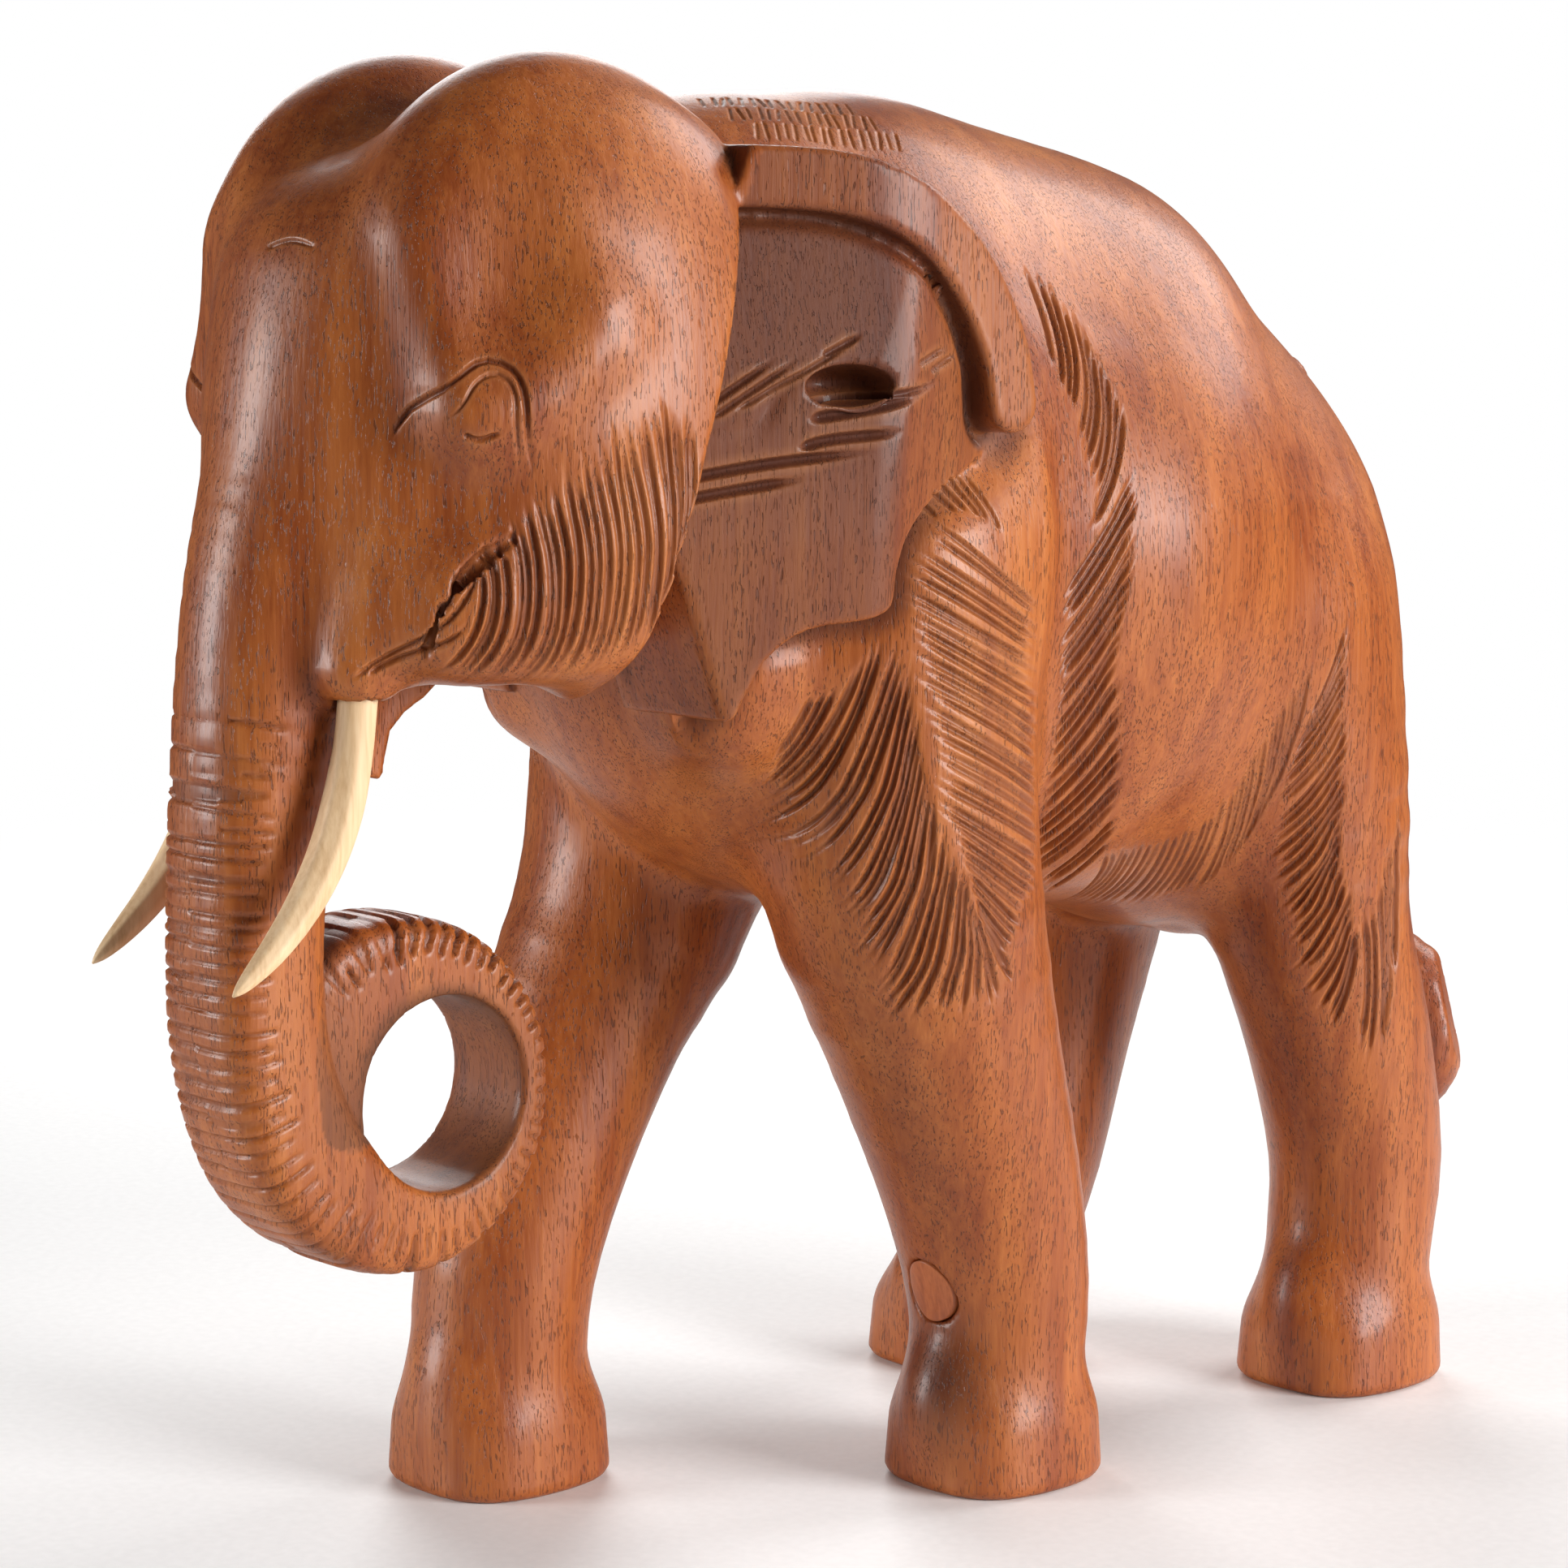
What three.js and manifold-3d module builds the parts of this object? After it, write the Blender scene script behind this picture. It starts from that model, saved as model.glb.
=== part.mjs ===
// Carved wooden elephant, walking, with a curled trunk and two push-fit tusks.
// Millimetres, +Z up. The face looks along -Y and the elephant's left side is +X.
// The origin is on the ground, under the middle of the whole figure.
//
// The body is one block of wood, so it is described as one smooth solid: every
// muscle group is an ellipsoid or a limb, and they melt into each other. The
// tusks are separate pale pins in drilled sockets, and a small repair patch is
// let into the front of the left fore ankle.

import * as THREE from 'three';
import { mergeVertices } from 'three/addons/utils/BufferGeometryUtils.js';
import Module from 'manifold-3d';

// ---- driving dimensions ---------------------------------------------------

const CELL = 8.8;                // facet size of the carved body
const TORSO_HALF_WIDTH = 64;
const BACK_NARROWS_ABOVE = 205;  // the back is rounder than the flanks
const BACK_NARROWING = 0.002;    // per millimetre of height
const LEG_X = 35;                // how far each leg stands from the middle plane
const GROUND_DEPTH = 12;         // the legs are modelled this far below the ground, then cut flat

// How wide a fillet each region makes where it meets the regions before it.
const FILLETS = { torso: 1, head: 10, trunk: 8, ear: 5, legs: 12, tail: 5 };

const TRUNK_CURL_Y = -131;       // centre of the round opening in the curled trunk
const TRUNK_CURL_Z = 97;
const TRUNK_CURL_FLATTENING = 0.82;
// Stations round that centre: degrees up from +Y, distance from the centre, trunk radius.
const TRUNK_CURL = [
  [165, 41, 12.5],
  [210, 34, 11],
  [255, 29.5, 9.6],
  [300, 28, 8.8],
  [345, 26.6, 7.4],
  [390, 26.6, 7],
  [435, 27, 7.2],
  [480, 26.6, 7],
  [525, 26, 5.5],
];

const TUSK_X = 21.5;
const TUSK_ROOT_Y = -161;
const TUSK_ROOT_Z = 173;         // mouth of the socket
const TUSK_ROOT_RADIUS = 4.2;
const TUSK_TIP = [23, -191, 126];
const SOCKET_DEPTH = 16;
const SOCKET_AXIS = new THREE.Vector3(0, 0.12, 1).normalize(); // points up into the head
const TUSK_STRAIGHT_RUN = 24;    // the tusk leaves its socket straight for about this long
const TUSK_TIP_SWEEP = [0, 15, 11]; // from the tip back towards where the tusk comes from
const TUSK_TAPER = 1.7;          // higher keeps the tusk thick for longer
const TUSK_TIP_SHARE = 0.12;     // radius of the blunt tip, as a share of the root's
const BORE_OVERRUN = 20;         // how far the socket's drill is drawn below the lip
const FIT_GAP = 0.3;

const PATCH_X = 35;
const PATCH_Z = 43;
const PATCH_WIDTH = 13;
const PATCH_HEIGHT = 14;
const PATCH_BACK_Y = -17.5;      // how far in the pocket's floor lies
const PATCH_FRONT_Y = -40;       // anything in front of the ankle

// The space that is searched for the wood's surface.
const SEARCH_LOW = [-84, -206, -48];
const SEARCH_HIGH = [84, 186, 314];
const WELD_DISTANCE = 1e-4;      // vertices closer than this are one vertex

const wasm = await Module();
wasm.setup();

// ---- distance functions: negative inside the wood ---------------------------

// Joins two distances with a fillet about `blend` wide.
function smoothMin(a, b, blend) {
  const overlap = Math.max(blend - Math.abs(a - b), 0) / blend;
  return Math.min(a, b) - (overlap * overlap * blend) / 4;
}

function ellipsoid([cx, cy, cz], [rx, ry, rz]) {
  return (x, y, z) => {
    const dx = (x - cx) / rx;
    const dy = (y - cy) / ry;
    const dz = (z - cz) / rz;
    const scaled = Math.hypot(dx, dy, dz);
    const slope = Math.hypot(dx / rx, dy / ry, dz / rz);
    return slope > 1e-9 ? (scaled * (scaled - 1)) / slope : -Math.min(rx, ry, rz);
  };
}

// A ball that moves from one station to the next while its radius changes.
function taperedSegment(a, b) {
  const start = new THREE.Vector3(a[0], a[1], a[2]);
  const axis = new THREE.Vector3(b[0], b[1], b[2]).sub(start);
  const length = axis.length();
  axis.divideScalar(length);
  return (x, y, z) => {
    const dx = x - start.x;
    const dy = y - start.y;
    const dz = z - start.z;
    const along = dx * axis.x + dy * axis.y + dz * axis.z;
    const t = THREE.MathUtils.clamp(along / length, 0, 1);
    const px = dx - axis.x * t * length;
    const py = dy - axis.y * t * length;
    const pz = dz - axis.z * t * length;
    return Math.hypot(px, py, pz) - THREE.MathUtils.lerp(a[3], b[3], t);
  };
}

// A limb through stations [x, y, z, radius], rounded between them by a spline.
function limb(stations, stepsBetween = 3) {
  const path = new THREE.CatmullRomCurve3(stations.map(([x, y, z]) => new THREE.Vector3(x, y, z)));
  const spans = stations.length - 1;
  const points = [];
  for (let i = 0; i <= spans * stepsBetween; i += 1) {
    const t = i / (spans * stepsBetween);
    const span = Math.min(Math.floor(t * spans), spans - 1);
    const radius = THREE.MathUtils.lerp(stations[span][3], stations[span + 1][3], t * spans - span);
    points.push([...path.getPoint(t).toArray(), radius]);
  }
  const segments = points.slice(1).map((point, i) => taperedSegment(points[i], point));
  return (x, y, z) => {
    let nearest = Infinity;
    for (const segment of segments) {
      nearest = Math.min(nearest, segment(x, y, z));
    }
    return nearest;
  };
}

function blendAll(shapes, blend) {
  return (x, y, z) => {
    let distance = shapes[0](x, y, z);
    for (let i = 1; i < shapes.length; i += 1) {
      distance = smoothMin(distance, shapes[i](x, y, z), blend);
    }
    return distance;
  };
}

// The same shape on both sides of the middle plane.
function mirrored(shape) {
  return (x, y, z) => shape(Math.abs(x), y, z);
}

// ---- the carved body, region by region --------------------------------------

function torso() {
  const shoulders = ellipsoid([0, -24, 207], [62, 76, 84]);
  const barrel = ellipsoid([0, 30, 196], [TORSO_HALF_WIDTH, 80, 81]);
  const rump = ellipsoid([0, 78, 176], [55, 58, 71]);
  const neck = ellipsoid([0, -70, 238], [47, 50, 52]);
  const muscles = blendAll([shoulders, barrel, rump, neck], 12);
  return (x, y, z) => {
    const narrowing = 1 + BACK_NARROWING * Math.max(0, z - BACK_NARROWS_ABOVE);
    return muscles(x * narrowing, y, z);
  };
}

function head() {
  const skull = ellipsoid([0, -120, 236], [50, 50, 58]);
  const dome = mirrored(ellipsoid([20, -118, 262], [25, 35, 37]));
  const brow = mirrored(ellipsoid([33, -138, 240], [9, 12, 10]));
  const cheek = mirrored(ellipsoid([31, -123, 203], [19, 29, 27]));
  const lip = mirrored(limb([[16, -148, 204, 16], [20, -156, 188, 10], [21, -158.5, 180, 7.5]]));
  const chin = limb([[0, -130, 196, 16], [0, -140, 180, 10], [0, -146, 170, 6.5]]);
  return blendAll([skull, dome, brow, cheek, lip, chin], 10);
}

// The trunk hangs down in front, then curls back, up and round until its tip
// touches it from behind. The curl is a little wider than it is thick.
function trunk() {
  const hanging = limb([
    [0, -138, 250, 32],
    [0, -150, 222, 26],
    [0, -163, 192, 19],
    [0, -170, 160, 14.5],
    [0, -172, 125, 13],
    [0, -170, 108, 12.5],
  ]);
  const curl = limb(
    TRUNK_CURL.map(([degrees, distance, radius]) => {
      const angle = THREE.MathUtils.degToRad(degrees);
      const y = TRUNK_CURL_Y + distance * Math.cos(angle);
      const z = TRUNK_CURL_Z + distance * Math.sin(angle);
      return [0, y, z, radius];
    }),
  );
  const wideCurl = (x, y, z) => curl(x * TRUNK_CURL_FLATTENING, y, z);
  return blendAll([hanging, wideCurl], 3);
}

function ear() {
  const flap = ellipsoid([50, -62, 234], [14, 42, 46]);
  const lobe = ellipsoid([46, -86, 204], [12, 24, 30]);
  return mirrored(blendAll([flap, lobe], 12));
}

function legs() {
  const leftFore = limb([
    [30, -34, 190, 32],
    [33, -32, 140, 30],
    [LEG_X, -20, 98, 24.5],
    [LEG_X, -9, 67, 21.5],
    [LEG_X, -2, 40, 20],
    [LEG_X, -3, 18, 21.5],
    [LEG_X, -4, -GROUND_DEPTH, 23.5],
  ]);
  const rightFore = limb([
    [-30, -34, 190, 32],
    [-33, -42, 130, 27],
    [-LEG_X, -58, 98, 22.5],
    [-LEG_X, -72, 70, 20.5],
    [-LEG_X, -82, 42, 19],
    [-LEG_X, -84, 18, 21],
    [-LEG_X, -84, -GROUND_DEPTH, 23.5],
  ]);
  const leftHind = limb([
    [26, 82, 175, 32],
    [31, 94, 142, 28],
    [34, 100, 108, 23],
    [LEG_X, 108, 81, 21],
    [LEG_X, 115.5, 49, 20.2],
    [LEG_X, 110, 24, 24],
    [LEG_X, 108, -GROUND_DEPTH, 25.5],
  ]);
  const rightHind = limb([
    [-26, 82, 175, 32],
    [-31, 92, 140, 28],
    [-34, 88, 100, 23],
    [-LEG_X, 82, 74, 21],
    [-LEG_X, 74, 46, 20.5],
    [-LEG_X, 62, 22, 23],
    [-LEG_X, 58, -GROUND_DEPTH, 26],
  ]);
  return blendAll([leftFore, rightFore, leftHind, rightHind], 6);
}

function tail() {
  const dock = limb([
    [0, 122, 226, 8],
    [0, 133, 200, 6.5],
    [1, 137, 160, 6],
    [3, 135, 124, 6.5],
    [10, 135, 104, 7],
    [23, 138, 92, 8],
  ]);
  const tuft = ellipsoid([33, 141, 77], [11, 11.5, 20]);
  return blendAll([dock, tuft], 6);
}

function carvedBodyDistance() {
  const regions = [
    [torso(), FILLETS.torso],
    [head(), FILLETS.head],
    [trunk(), FILLETS.trunk],
    [ear(), FILLETS.ear],
    [legs(), FILLETS.legs],
    [tail(), FILLETS.tail],
  ];
  return (x, y, z) => {
    let distance = Infinity;
    for (const [region, blend] of regions) {
      distance = smoothMin(distance, region(x, y, z), blend);
    }
    return distance;
  };
}

// ---- from distance to triangles ----------------------------------------------

const EDGES = [
  [0, 1], [2, 3], [4, 5], [6, 7],
  [0, 2], [1, 3], [4, 6], [5, 7],
  [0, 4], [1, 5], [2, 6], [3, 7],
];

// Slides a point along the slope of the distance until it lies on the surface.
function settleOnSurface(distance, point) {
  const h = 0.05; // short enough to follow the tightest fillet
  for (let pass = 0; pass < 4; pass += 1) {
    const [x, y, z] = point;
    const d = distance(x, y, z);
    const gx = (distance(x + h, y, z) - distance(x - h, y, z)) / (2 * h);
    const gy = (distance(x, y + h, z) - distance(x, y - h, z)) / (2 * h);
    const gz = (distance(x, y, z + h) - distance(x, y, z - h)) / (2 * h);
    const steepness = gx * gx + gy * gy + gz * gz;
    const step = THREE.MathUtils.clamp(d / Math.max(steepness, 0.2), -CELL / 4, CELL / 4);
    point[0] -= gx * step;
    point[1] -= gy * step;
    point[2] -= gz * step;
  }
  return point;
}

// Puts one vertex in each grid cell that the surface crosses, and one quad across
// each grid edge that it crosses, so the mesh is closed.
function skinOf(distance, low, high, cell) {
  const count = low.map((value, i) => Math.ceil((high[i] - value) / cell) + 1);
  const at = (i, j, k) => (k * count[1] + j) * count[0] + i;
  const values = new Float32Array(count[0] * count[1] * count[2]);
  for (let k = 0; k < count[2]; k += 1) {
    for (let j = 0; j < count[1]; j += 1) {
      for (let i = 0; i < count[0]; i += 1) {
        values[at(i, j, k)] = distance(low[0] + i * cell, low[1] + j * cell, low[2] + k * cell);
      }
    }
  }
  const vertexOfCell = new Map();
  const positions = [];
  for (let k = 0; k < count[2] - 1; k += 1) {
    for (let j = 0; j < count[1] - 1; j += 1) {
      for (let i = 0; i < count[0] - 1; i += 1) {
        const corner = [];
        for (let c = 0; c < 8; c += 1) {
          corner.push(values[at(i + (c & 1), j + ((c >> 1) & 1), k + ((c >> 2) & 1))]);
        }
        const sum = [0, 0, 0];
        let crossings = 0;
        for (const [a, b] of EDGES) {
          if (corner[a] < 0 !== corner[b] < 0) {
            const t = corner[a] / (corner[a] - corner[b]);
            sum[0] += (a & 1) + t * ((b & 1) - (a & 1));
            sum[1] += ((a >> 1) & 1) + t * (((b >> 1) & 1) - ((a >> 1) & 1));
            sum[2] += ((a >> 2) & 1) + t * (((b >> 2) & 1) - ((a >> 2) & 1));
            crossings += 1;
          }
        }
        if (crossings > 0) {
          const point = [i, j, k].map(
            (step, axis) => low[axis] + (step + sum[axis] / crossings) * cell,
          );
          vertexOfCell.set(at(i, j, k), positions.length / 3);
          positions.push(...settleOnSurface(distance, point));
        }
      }
    }
  }
  const triangles = [];
  const addQuad = (a, b, c, d, insideFirst) => {
    const ring = [a, b, c, d].map((key) => vertexOfCell.get(key));
    const [p, q, r, s] = insideFirst ? ring : ring.reverse();
    triangles.push(p, q, r, p, r, s);
  };
  for (let k = 1; k < count[2] - 1; k += 1) {
    for (let j = 1; j < count[1] - 1; j += 1) {
      for (let i = 1; i < count[0] - 1; i += 1) {
        const inside = values[at(i, j, k)] < 0;
        if (inside !== values[at(i + 1, j, k)] < 0) {
          addQuad(at(i, j - 1, k - 1), at(i, j, k - 1), at(i, j, k), at(i, j - 1, k), inside);
        }
        if (inside !== values[at(i, j + 1, k)] < 0) {
          addQuad(at(i - 1, j, k - 1), at(i - 1, j, k), at(i, j, k), at(i, j, k - 1), inside);
        }
        if (inside !== values[at(i, j, k + 1)] < 0) {
          addQuad(at(i - 1, j - 1, k), at(i, j - 1, k), at(i, j, k), at(i - 1, j, k), inside);
        }
      }
    }
  }
  const geometry = new THREE.BufferGeometry();
  geometry.setAttribute('position', new THREE.Float32BufferAttribute(positions, 3));
  geometry.setIndex(triangles);
  return geometry;
}

// ---- solids ---------------------------------------------------------------

function toSolid(geometry) {
  const bare = geometry.clone();
  bare.deleteAttribute('normal');
  bare.deleteAttribute('uv');
  const merged = mergeVertices(bare, WELD_DISTANCE);
  const mesh = new wasm.Mesh({
    numProp: 3,
    vertProperties: new Float32Array(merged.attributes.position.array),
    triVerts: new Uint32Array(merged.index.array),
  });
  return new wasm.Manifold(mesh);
}

function toGeometry(solid) {
  const mesh = solid.getMesh();
  const geometry = new THREE.BufferGeometry();
  const positions = new Float32Array(mesh.vertProperties);
  geometry.setAttribute('position', new THREE.BufferAttribute(positions, 3));
  geometry.setIndex(new THREE.BufferAttribute(new Uint32Array(mesh.triVerts), 1));
  geometry.computeVertexNormals();
  return geometry;
}

// Everything below the ground, as a block.
function groundBlock() {
  const depth = GROUND_DEPTH * 4;
  const block = new THREE.BoxGeometry(400, 600, depth);
  block.translate(0, 0, -depth / 2);
  return toSolid(block);
}

// A round horn along a curve, flat at its root and pointed at its tip.
function horn(curve, radiusAt, rings, sides) {
  const frames = curve.computeFrenetFrames(rings, false);
  const positions = [];
  for (let ring = 0; ring <= rings; ring += 1) {
    const t = ring / rings;
    const centre = curve.getPointAt(t);
    for (let side = 0; side < sides; side += 1) {
      const angle = (2 * Math.PI * side) / sides;
      const offset = frames.normals[ring].clone().multiplyScalar(Math.cos(angle) * radiusAt(t));
      offset.addScaledVector(frames.binormals[ring], Math.sin(angle) * radiusAt(t));
      positions.push(...centre.clone().add(offset).toArray());
    }
  }
  const rootCentre = positions.length / 3;
  positions.push(...curve.getPointAt(0).toArray());
  positions.push(...curve.getPointAt(1).toArray());
  const triangles = [];
  for (let side = 0; side < sides; side += 1) {
    const next = (side + 1) % sides;
    for (let ring = 0; ring < rings; ring += 1) {
      const a = ring * sides + side;
      const b = ring * sides + next;
      triangles.push(a, b, b + sides, a, b + sides, a + sides);
    }
    triangles.push(rootCentre, next, side);
    triangles.push(rootCentre + 1, rings * sides + side, rings * sides + next);
  }
  const geometry = new THREE.BufferGeometry();
  geometry.setAttribute('position', new THREE.Float32BufferAttribute(positions, 3));
  geometry.setIndex(triangles);
  geometry.computeVertexNormals();
  return geometry;
}

// side is +1 for the left tusk and -1 for the right one.
function tuskRoot(side) {
  return new THREE.Vector3(TUSK_X * side, TUSK_ROOT_Y, TUSK_ROOT_Z);
}

function tuskGeometry(side) {
  const root = tuskRoot(side);
  const top = root.clone().addScaledVector(SOCKET_AXIS, SOCKET_DEPTH - FIT_GAP);
  const tip = new THREE.Vector3(TUSK_TIP[0] * side, TUSK_TIP[1], TUSK_TIP[2]);
  const shank = new THREE.LineCurve3(top, root);
  const knee = root.clone().addScaledVector(SOCKET_AXIS, -TUSK_STRAIGHT_RUN);
  const sweep = tip.clone().add(new THREE.Vector3(...TUSK_TIP_SWEEP));
  const blade = new THREE.CubicBezierCurve3(root, knee, sweep, tip);
  const path = new THREE.CurvePath();
  path.add(shank);
  path.add(blade);
  const total = path.getLength();
  const straight = shank.getLength() / total;
  const radiusAt = (t) => {
    const beyond = Math.max(0, (t - straight) / (1 - straight));
    const share = Math.sqrt(Math.max(0, 1 - beyond ** TUSK_TAPER));
    return TUSK_ROOT_RADIUS * Math.max(TUSK_TIP_SHARE, share);
  };
  const points = path.getSpacedPoints(28);
  return horn(new THREE.CatmullRomCurve3(points), radiusAt, 22, 16);
}

function socketSolid(side) {
  const length = SOCKET_DEPTH + BORE_OVERRUN;
  const radius = TUSK_ROOT_RADIUS + FIT_GAP;
  const bore = new THREE.CylinderGeometry(radius, radius, length, 24);
  const turn = new THREE.Quaternion().setFromUnitVectors(new THREE.Vector3(0, 1, 0), SOCKET_AXIS);
  bore.applyQuaternion(turn);
  const middle = tuskRoot(side).addScaledVector(SOCKET_AXIS, SOCKET_DEPTH - length / 2);
  bore.translate(middle.x, middle.y, middle.z);
  return toSolid(bore);
}

// An oval plug, pushed straight back into the ankle. `gap` shrinks it on every side.
function patchPlug(gap) {
  const outline = new THREE.Shape();
  outline.absellipse(0, 0, PATCH_WIDTH / 2 - gap, PATCH_HEIGHT / 2 - gap, 0, 2 * Math.PI);
  const depth = PATCH_BACK_Y - gap - PATCH_FRONT_Y;
  const plug = new THREE.ExtrudeGeometry(outline, { depth, bevelEnabled: false, curveSegments: 12 });
  plug.rotateX(Math.PI / 2);
  plug.translate(PATCH_X, PATCH_BACK_Y - gap, PATCH_Z);
  return toSolid(plug);
}

// ---- the figure -------------------------------------------------------------

const skin = skinOf(carvedBodyDistance(), SEARCH_LOW, SEARCH_HIGH, CELL);
const block = toSolid(skin).subtract(groundBlock());
const carvedBody = block
  .subtract(socketSolid(1))
  .subtract(socketSolid(-1))
  .subtract(patchPlug(0));
const anklePatch = block.intersect(patchPlug(FIT_GAP));

const teak = new THREE.MeshStandardMaterial({ color: '#a9622f', roughness: 0.38, metalness: 0 });
const paleWood = new THREE.MeshStandardMaterial({ color: '#d9b27a', roughness: 0.6, metalness: 0 });
const patchWood = new THREE.MeshStandardMaterial({ color: '#b56a33', roughness: 0.42, metalness: 0 });

function namedMesh(name, geometry, material) {
  const mesh = new THREE.Mesh(geometry, material);
  mesh.name = name;
  return mesh;
}

const elephant = new THREE.Group();
elephant.add(namedMesh('carved_body', toGeometry(carvedBody), teak));
elephant.add(namedMesh('ankle_patch', toGeometry(anklePatch), patchWood));
elephant.add(namedMesh('tusk_left', tuskGeometry(1), paleWood));
elephant.add(namedMesh('tusk_right', tuskGeometry(-1), paleWood));

// The origin stands under the middle of the whole figure.
const reach = new THREE.Box3().setFromObject(elephant);
elephant.position.y = -(reach.min.y + reach.max.y) / 2;

export default elephant;
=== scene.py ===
# Carved wooden elephant: the looks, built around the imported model.
#
# The CAD body is a plain smooth solid. Here the same figure is carved again in
# detail: one block of teak described by distances in millimetres, turned into a
# fine mesh, then cut with a V-shaped gouge stroke by stroke. Everything below is
# in millimetres in the figure's own frame until to_world() turns it into metres.

import math

import bmesh
import bpy
import numpy as np
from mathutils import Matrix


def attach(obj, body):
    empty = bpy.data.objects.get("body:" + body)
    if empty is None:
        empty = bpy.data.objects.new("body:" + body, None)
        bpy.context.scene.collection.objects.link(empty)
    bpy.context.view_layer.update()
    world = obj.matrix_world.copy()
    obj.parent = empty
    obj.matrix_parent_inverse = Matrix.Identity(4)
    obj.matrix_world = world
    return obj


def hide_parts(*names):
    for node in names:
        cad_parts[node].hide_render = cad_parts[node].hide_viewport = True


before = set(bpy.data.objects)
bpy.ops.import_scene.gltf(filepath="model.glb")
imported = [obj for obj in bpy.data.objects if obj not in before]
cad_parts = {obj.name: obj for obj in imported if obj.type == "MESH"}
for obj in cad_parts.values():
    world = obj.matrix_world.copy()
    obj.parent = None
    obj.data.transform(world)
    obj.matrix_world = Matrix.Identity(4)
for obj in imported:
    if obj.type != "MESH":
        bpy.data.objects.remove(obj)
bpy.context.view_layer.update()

import openvdb
from mathutils import Vector

# ---- layout ----

MM = 0.001
SHIFT_Y = 19.56                # the figure's own y = 0 stands here in the row's frame, mm
VOXEL = 2.0                    # size of the body's facets before the knife work, mm
LOW = np.array([-74.0, -200.0, -8.0])      # the box that is sampled
HIGH = np.array([74.0, 166.0, 308.0])
FAR_AWAY = 50.0                # the distance openvdb gives to everything outside that box

TRUNK_CURL_Y = -131.0
TRUNK_CURL_Z = 97.0
RINGS_FROM = 84.0              # the first trunk ring, measured down the centre line, mm
RING_PITCH = 3.1               # from one trunk ring to the next
SEED = 41


def to_world(points):
    """Millimetres in the figure's frame to metres in the row's frame."""
    return (np.asarray(points, dtype=float) + (0.0, SHIFT_Y, 0.0)) * MM


# ---- distances: negative inside the wood ----

def smooth_min(a, b, blend):
    overlap = np.maximum(blend - np.abs(a - b), 0.0) / blend
    return np.minimum(a, b) - overlap * overlap * (blend * 0.25)


def smooth_max(a, b, blend):
    return -smooth_min(-a, -b, blend)


def smooth_step(x, start, end):
    t = np.clip((x - start) / (end - start), 0.0, 1.0)
    return t * t * (3.0 - 2.0 * t)


def join(parts, blend):
    wood = parts[0]
    for part in parts[1:]:
        wood = smooth_min(wood, part, blend)
    return wood


def ellipsoid(p, centre, radii):
    d = [(p[i] - centre[i]) / radii[i] for i in range(3)]
    scaled = np.sqrt(d[0] ** 2 + d[1] ** 2 + d[2] ** 2)
    slope = np.sqrt(sum((d[i] / radii[i]) ** 2 for i in range(3)))
    return scaled * (scaled - 1.0) / np.maximum(slope, 1e-6)


def spline(points, steps):
    """Catmull-Rom curve through the points; any number of columns."""
    points = np.asarray(points, dtype=float)
    padded = np.vstack([2 * points[0] - points[1], points, 2 * points[-1] - points[-2]])
    curve = []
    for i in range(1, len(padded) - 2):
        a, b, c, d = padded[i - 1:i + 3]
        for t in np.linspace(0.0, 1.0, steps, endpoint=False):
            curve.append(0.5 * (2 * b + (c - a) * t + (2 * a - 5 * b + 4 * c - d) * t ** 2
                                + (3 * b - a - 3 * c + d) * t ** 3))
    curve.append(points[-1])
    return np.array(curve)


def limb(p, stations, steps=3):
    """A ball of changing radius moved along stations (x, y, z, radius)."""
    path = spline(stations, steps)
    nearest = None
    for a, b in zip(path[:-1], path[1:]):
        axis = b[:3] - a[:3]
        length2 = float(axis @ axis)
        dx, dy, dz = p[0] - a[0], p[1] - a[1], p[2] - a[2]
        t = np.clip((dx * axis[0] + dy * axis[1] + dz * axis[2]) / length2, 0.0, 1.0)
        away = np.sqrt((dx - t * axis[0]) ** 2 + (dy - t * axis[1]) ** 2 + (dz - t * axis[2]) ** 2)
        distance = away - (a[3] + (b[3] - a[3]) * t)
        nearest = distance if nearest is None else np.minimum(nearest, distance)
    return nearest


def sided(p):
    """The same point on the elephant's left, for what both sides share."""
    return (np.abs(p[0]), p[1], p[2])


def curve_distance(u, v, points):
    """Distance to an open curve in a plane."""
    nearest = np.full(u.shape, 1e9, dtype=np.float32)
    for (au, av), (bu, bv) in zip(points[:-1], points[1:]):
        eu, ev = bu - au, bv - av
        du, dv = u - au, v - av
        t = np.clip((du * eu + dv * ev) / (eu * eu + ev * ev), 0.0, 1.0)
        nearest = np.minimum(nearest, (du - t * eu) ** 2 + (dv - t * ev) ** 2)
    return np.sqrt(nearest)


def outline_distance(u, v, points):
    """Signed distance to a closed outline in a plane, negative inside."""
    closed = np.vstack([points, points[:1]])
    inside = np.zeros(u.shape, dtype=bool)
    for (au, av), (bu, bv) in zip(closed[:-1], closed[1:]):
        if av != bv:
            inside ^= ((av <= v) != (bv <= v)) & (u < au + (v - av) * (bu - au) / (bv - av))
    return curve_distance(u, v, closed) * np.where(inside, -1.0, 1.0)


# ---- the body, region by region ----

REACH = 14.0                   # a region matters this far outside its own box, mm


def within(region, p, low, high):
    """A region's distance near its box; further off, only how far away the box is."""
    away = np.maximum.reduce([np.maximum(low[i] - p[i], p[i] - high[i]) for i in range(3)])
    distance = np.maximum(away, REACH)
    near = away < REACH
    if near.any():
        distance[near] = region(tuple(axis[near] for axis in p))
    return distance


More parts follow.
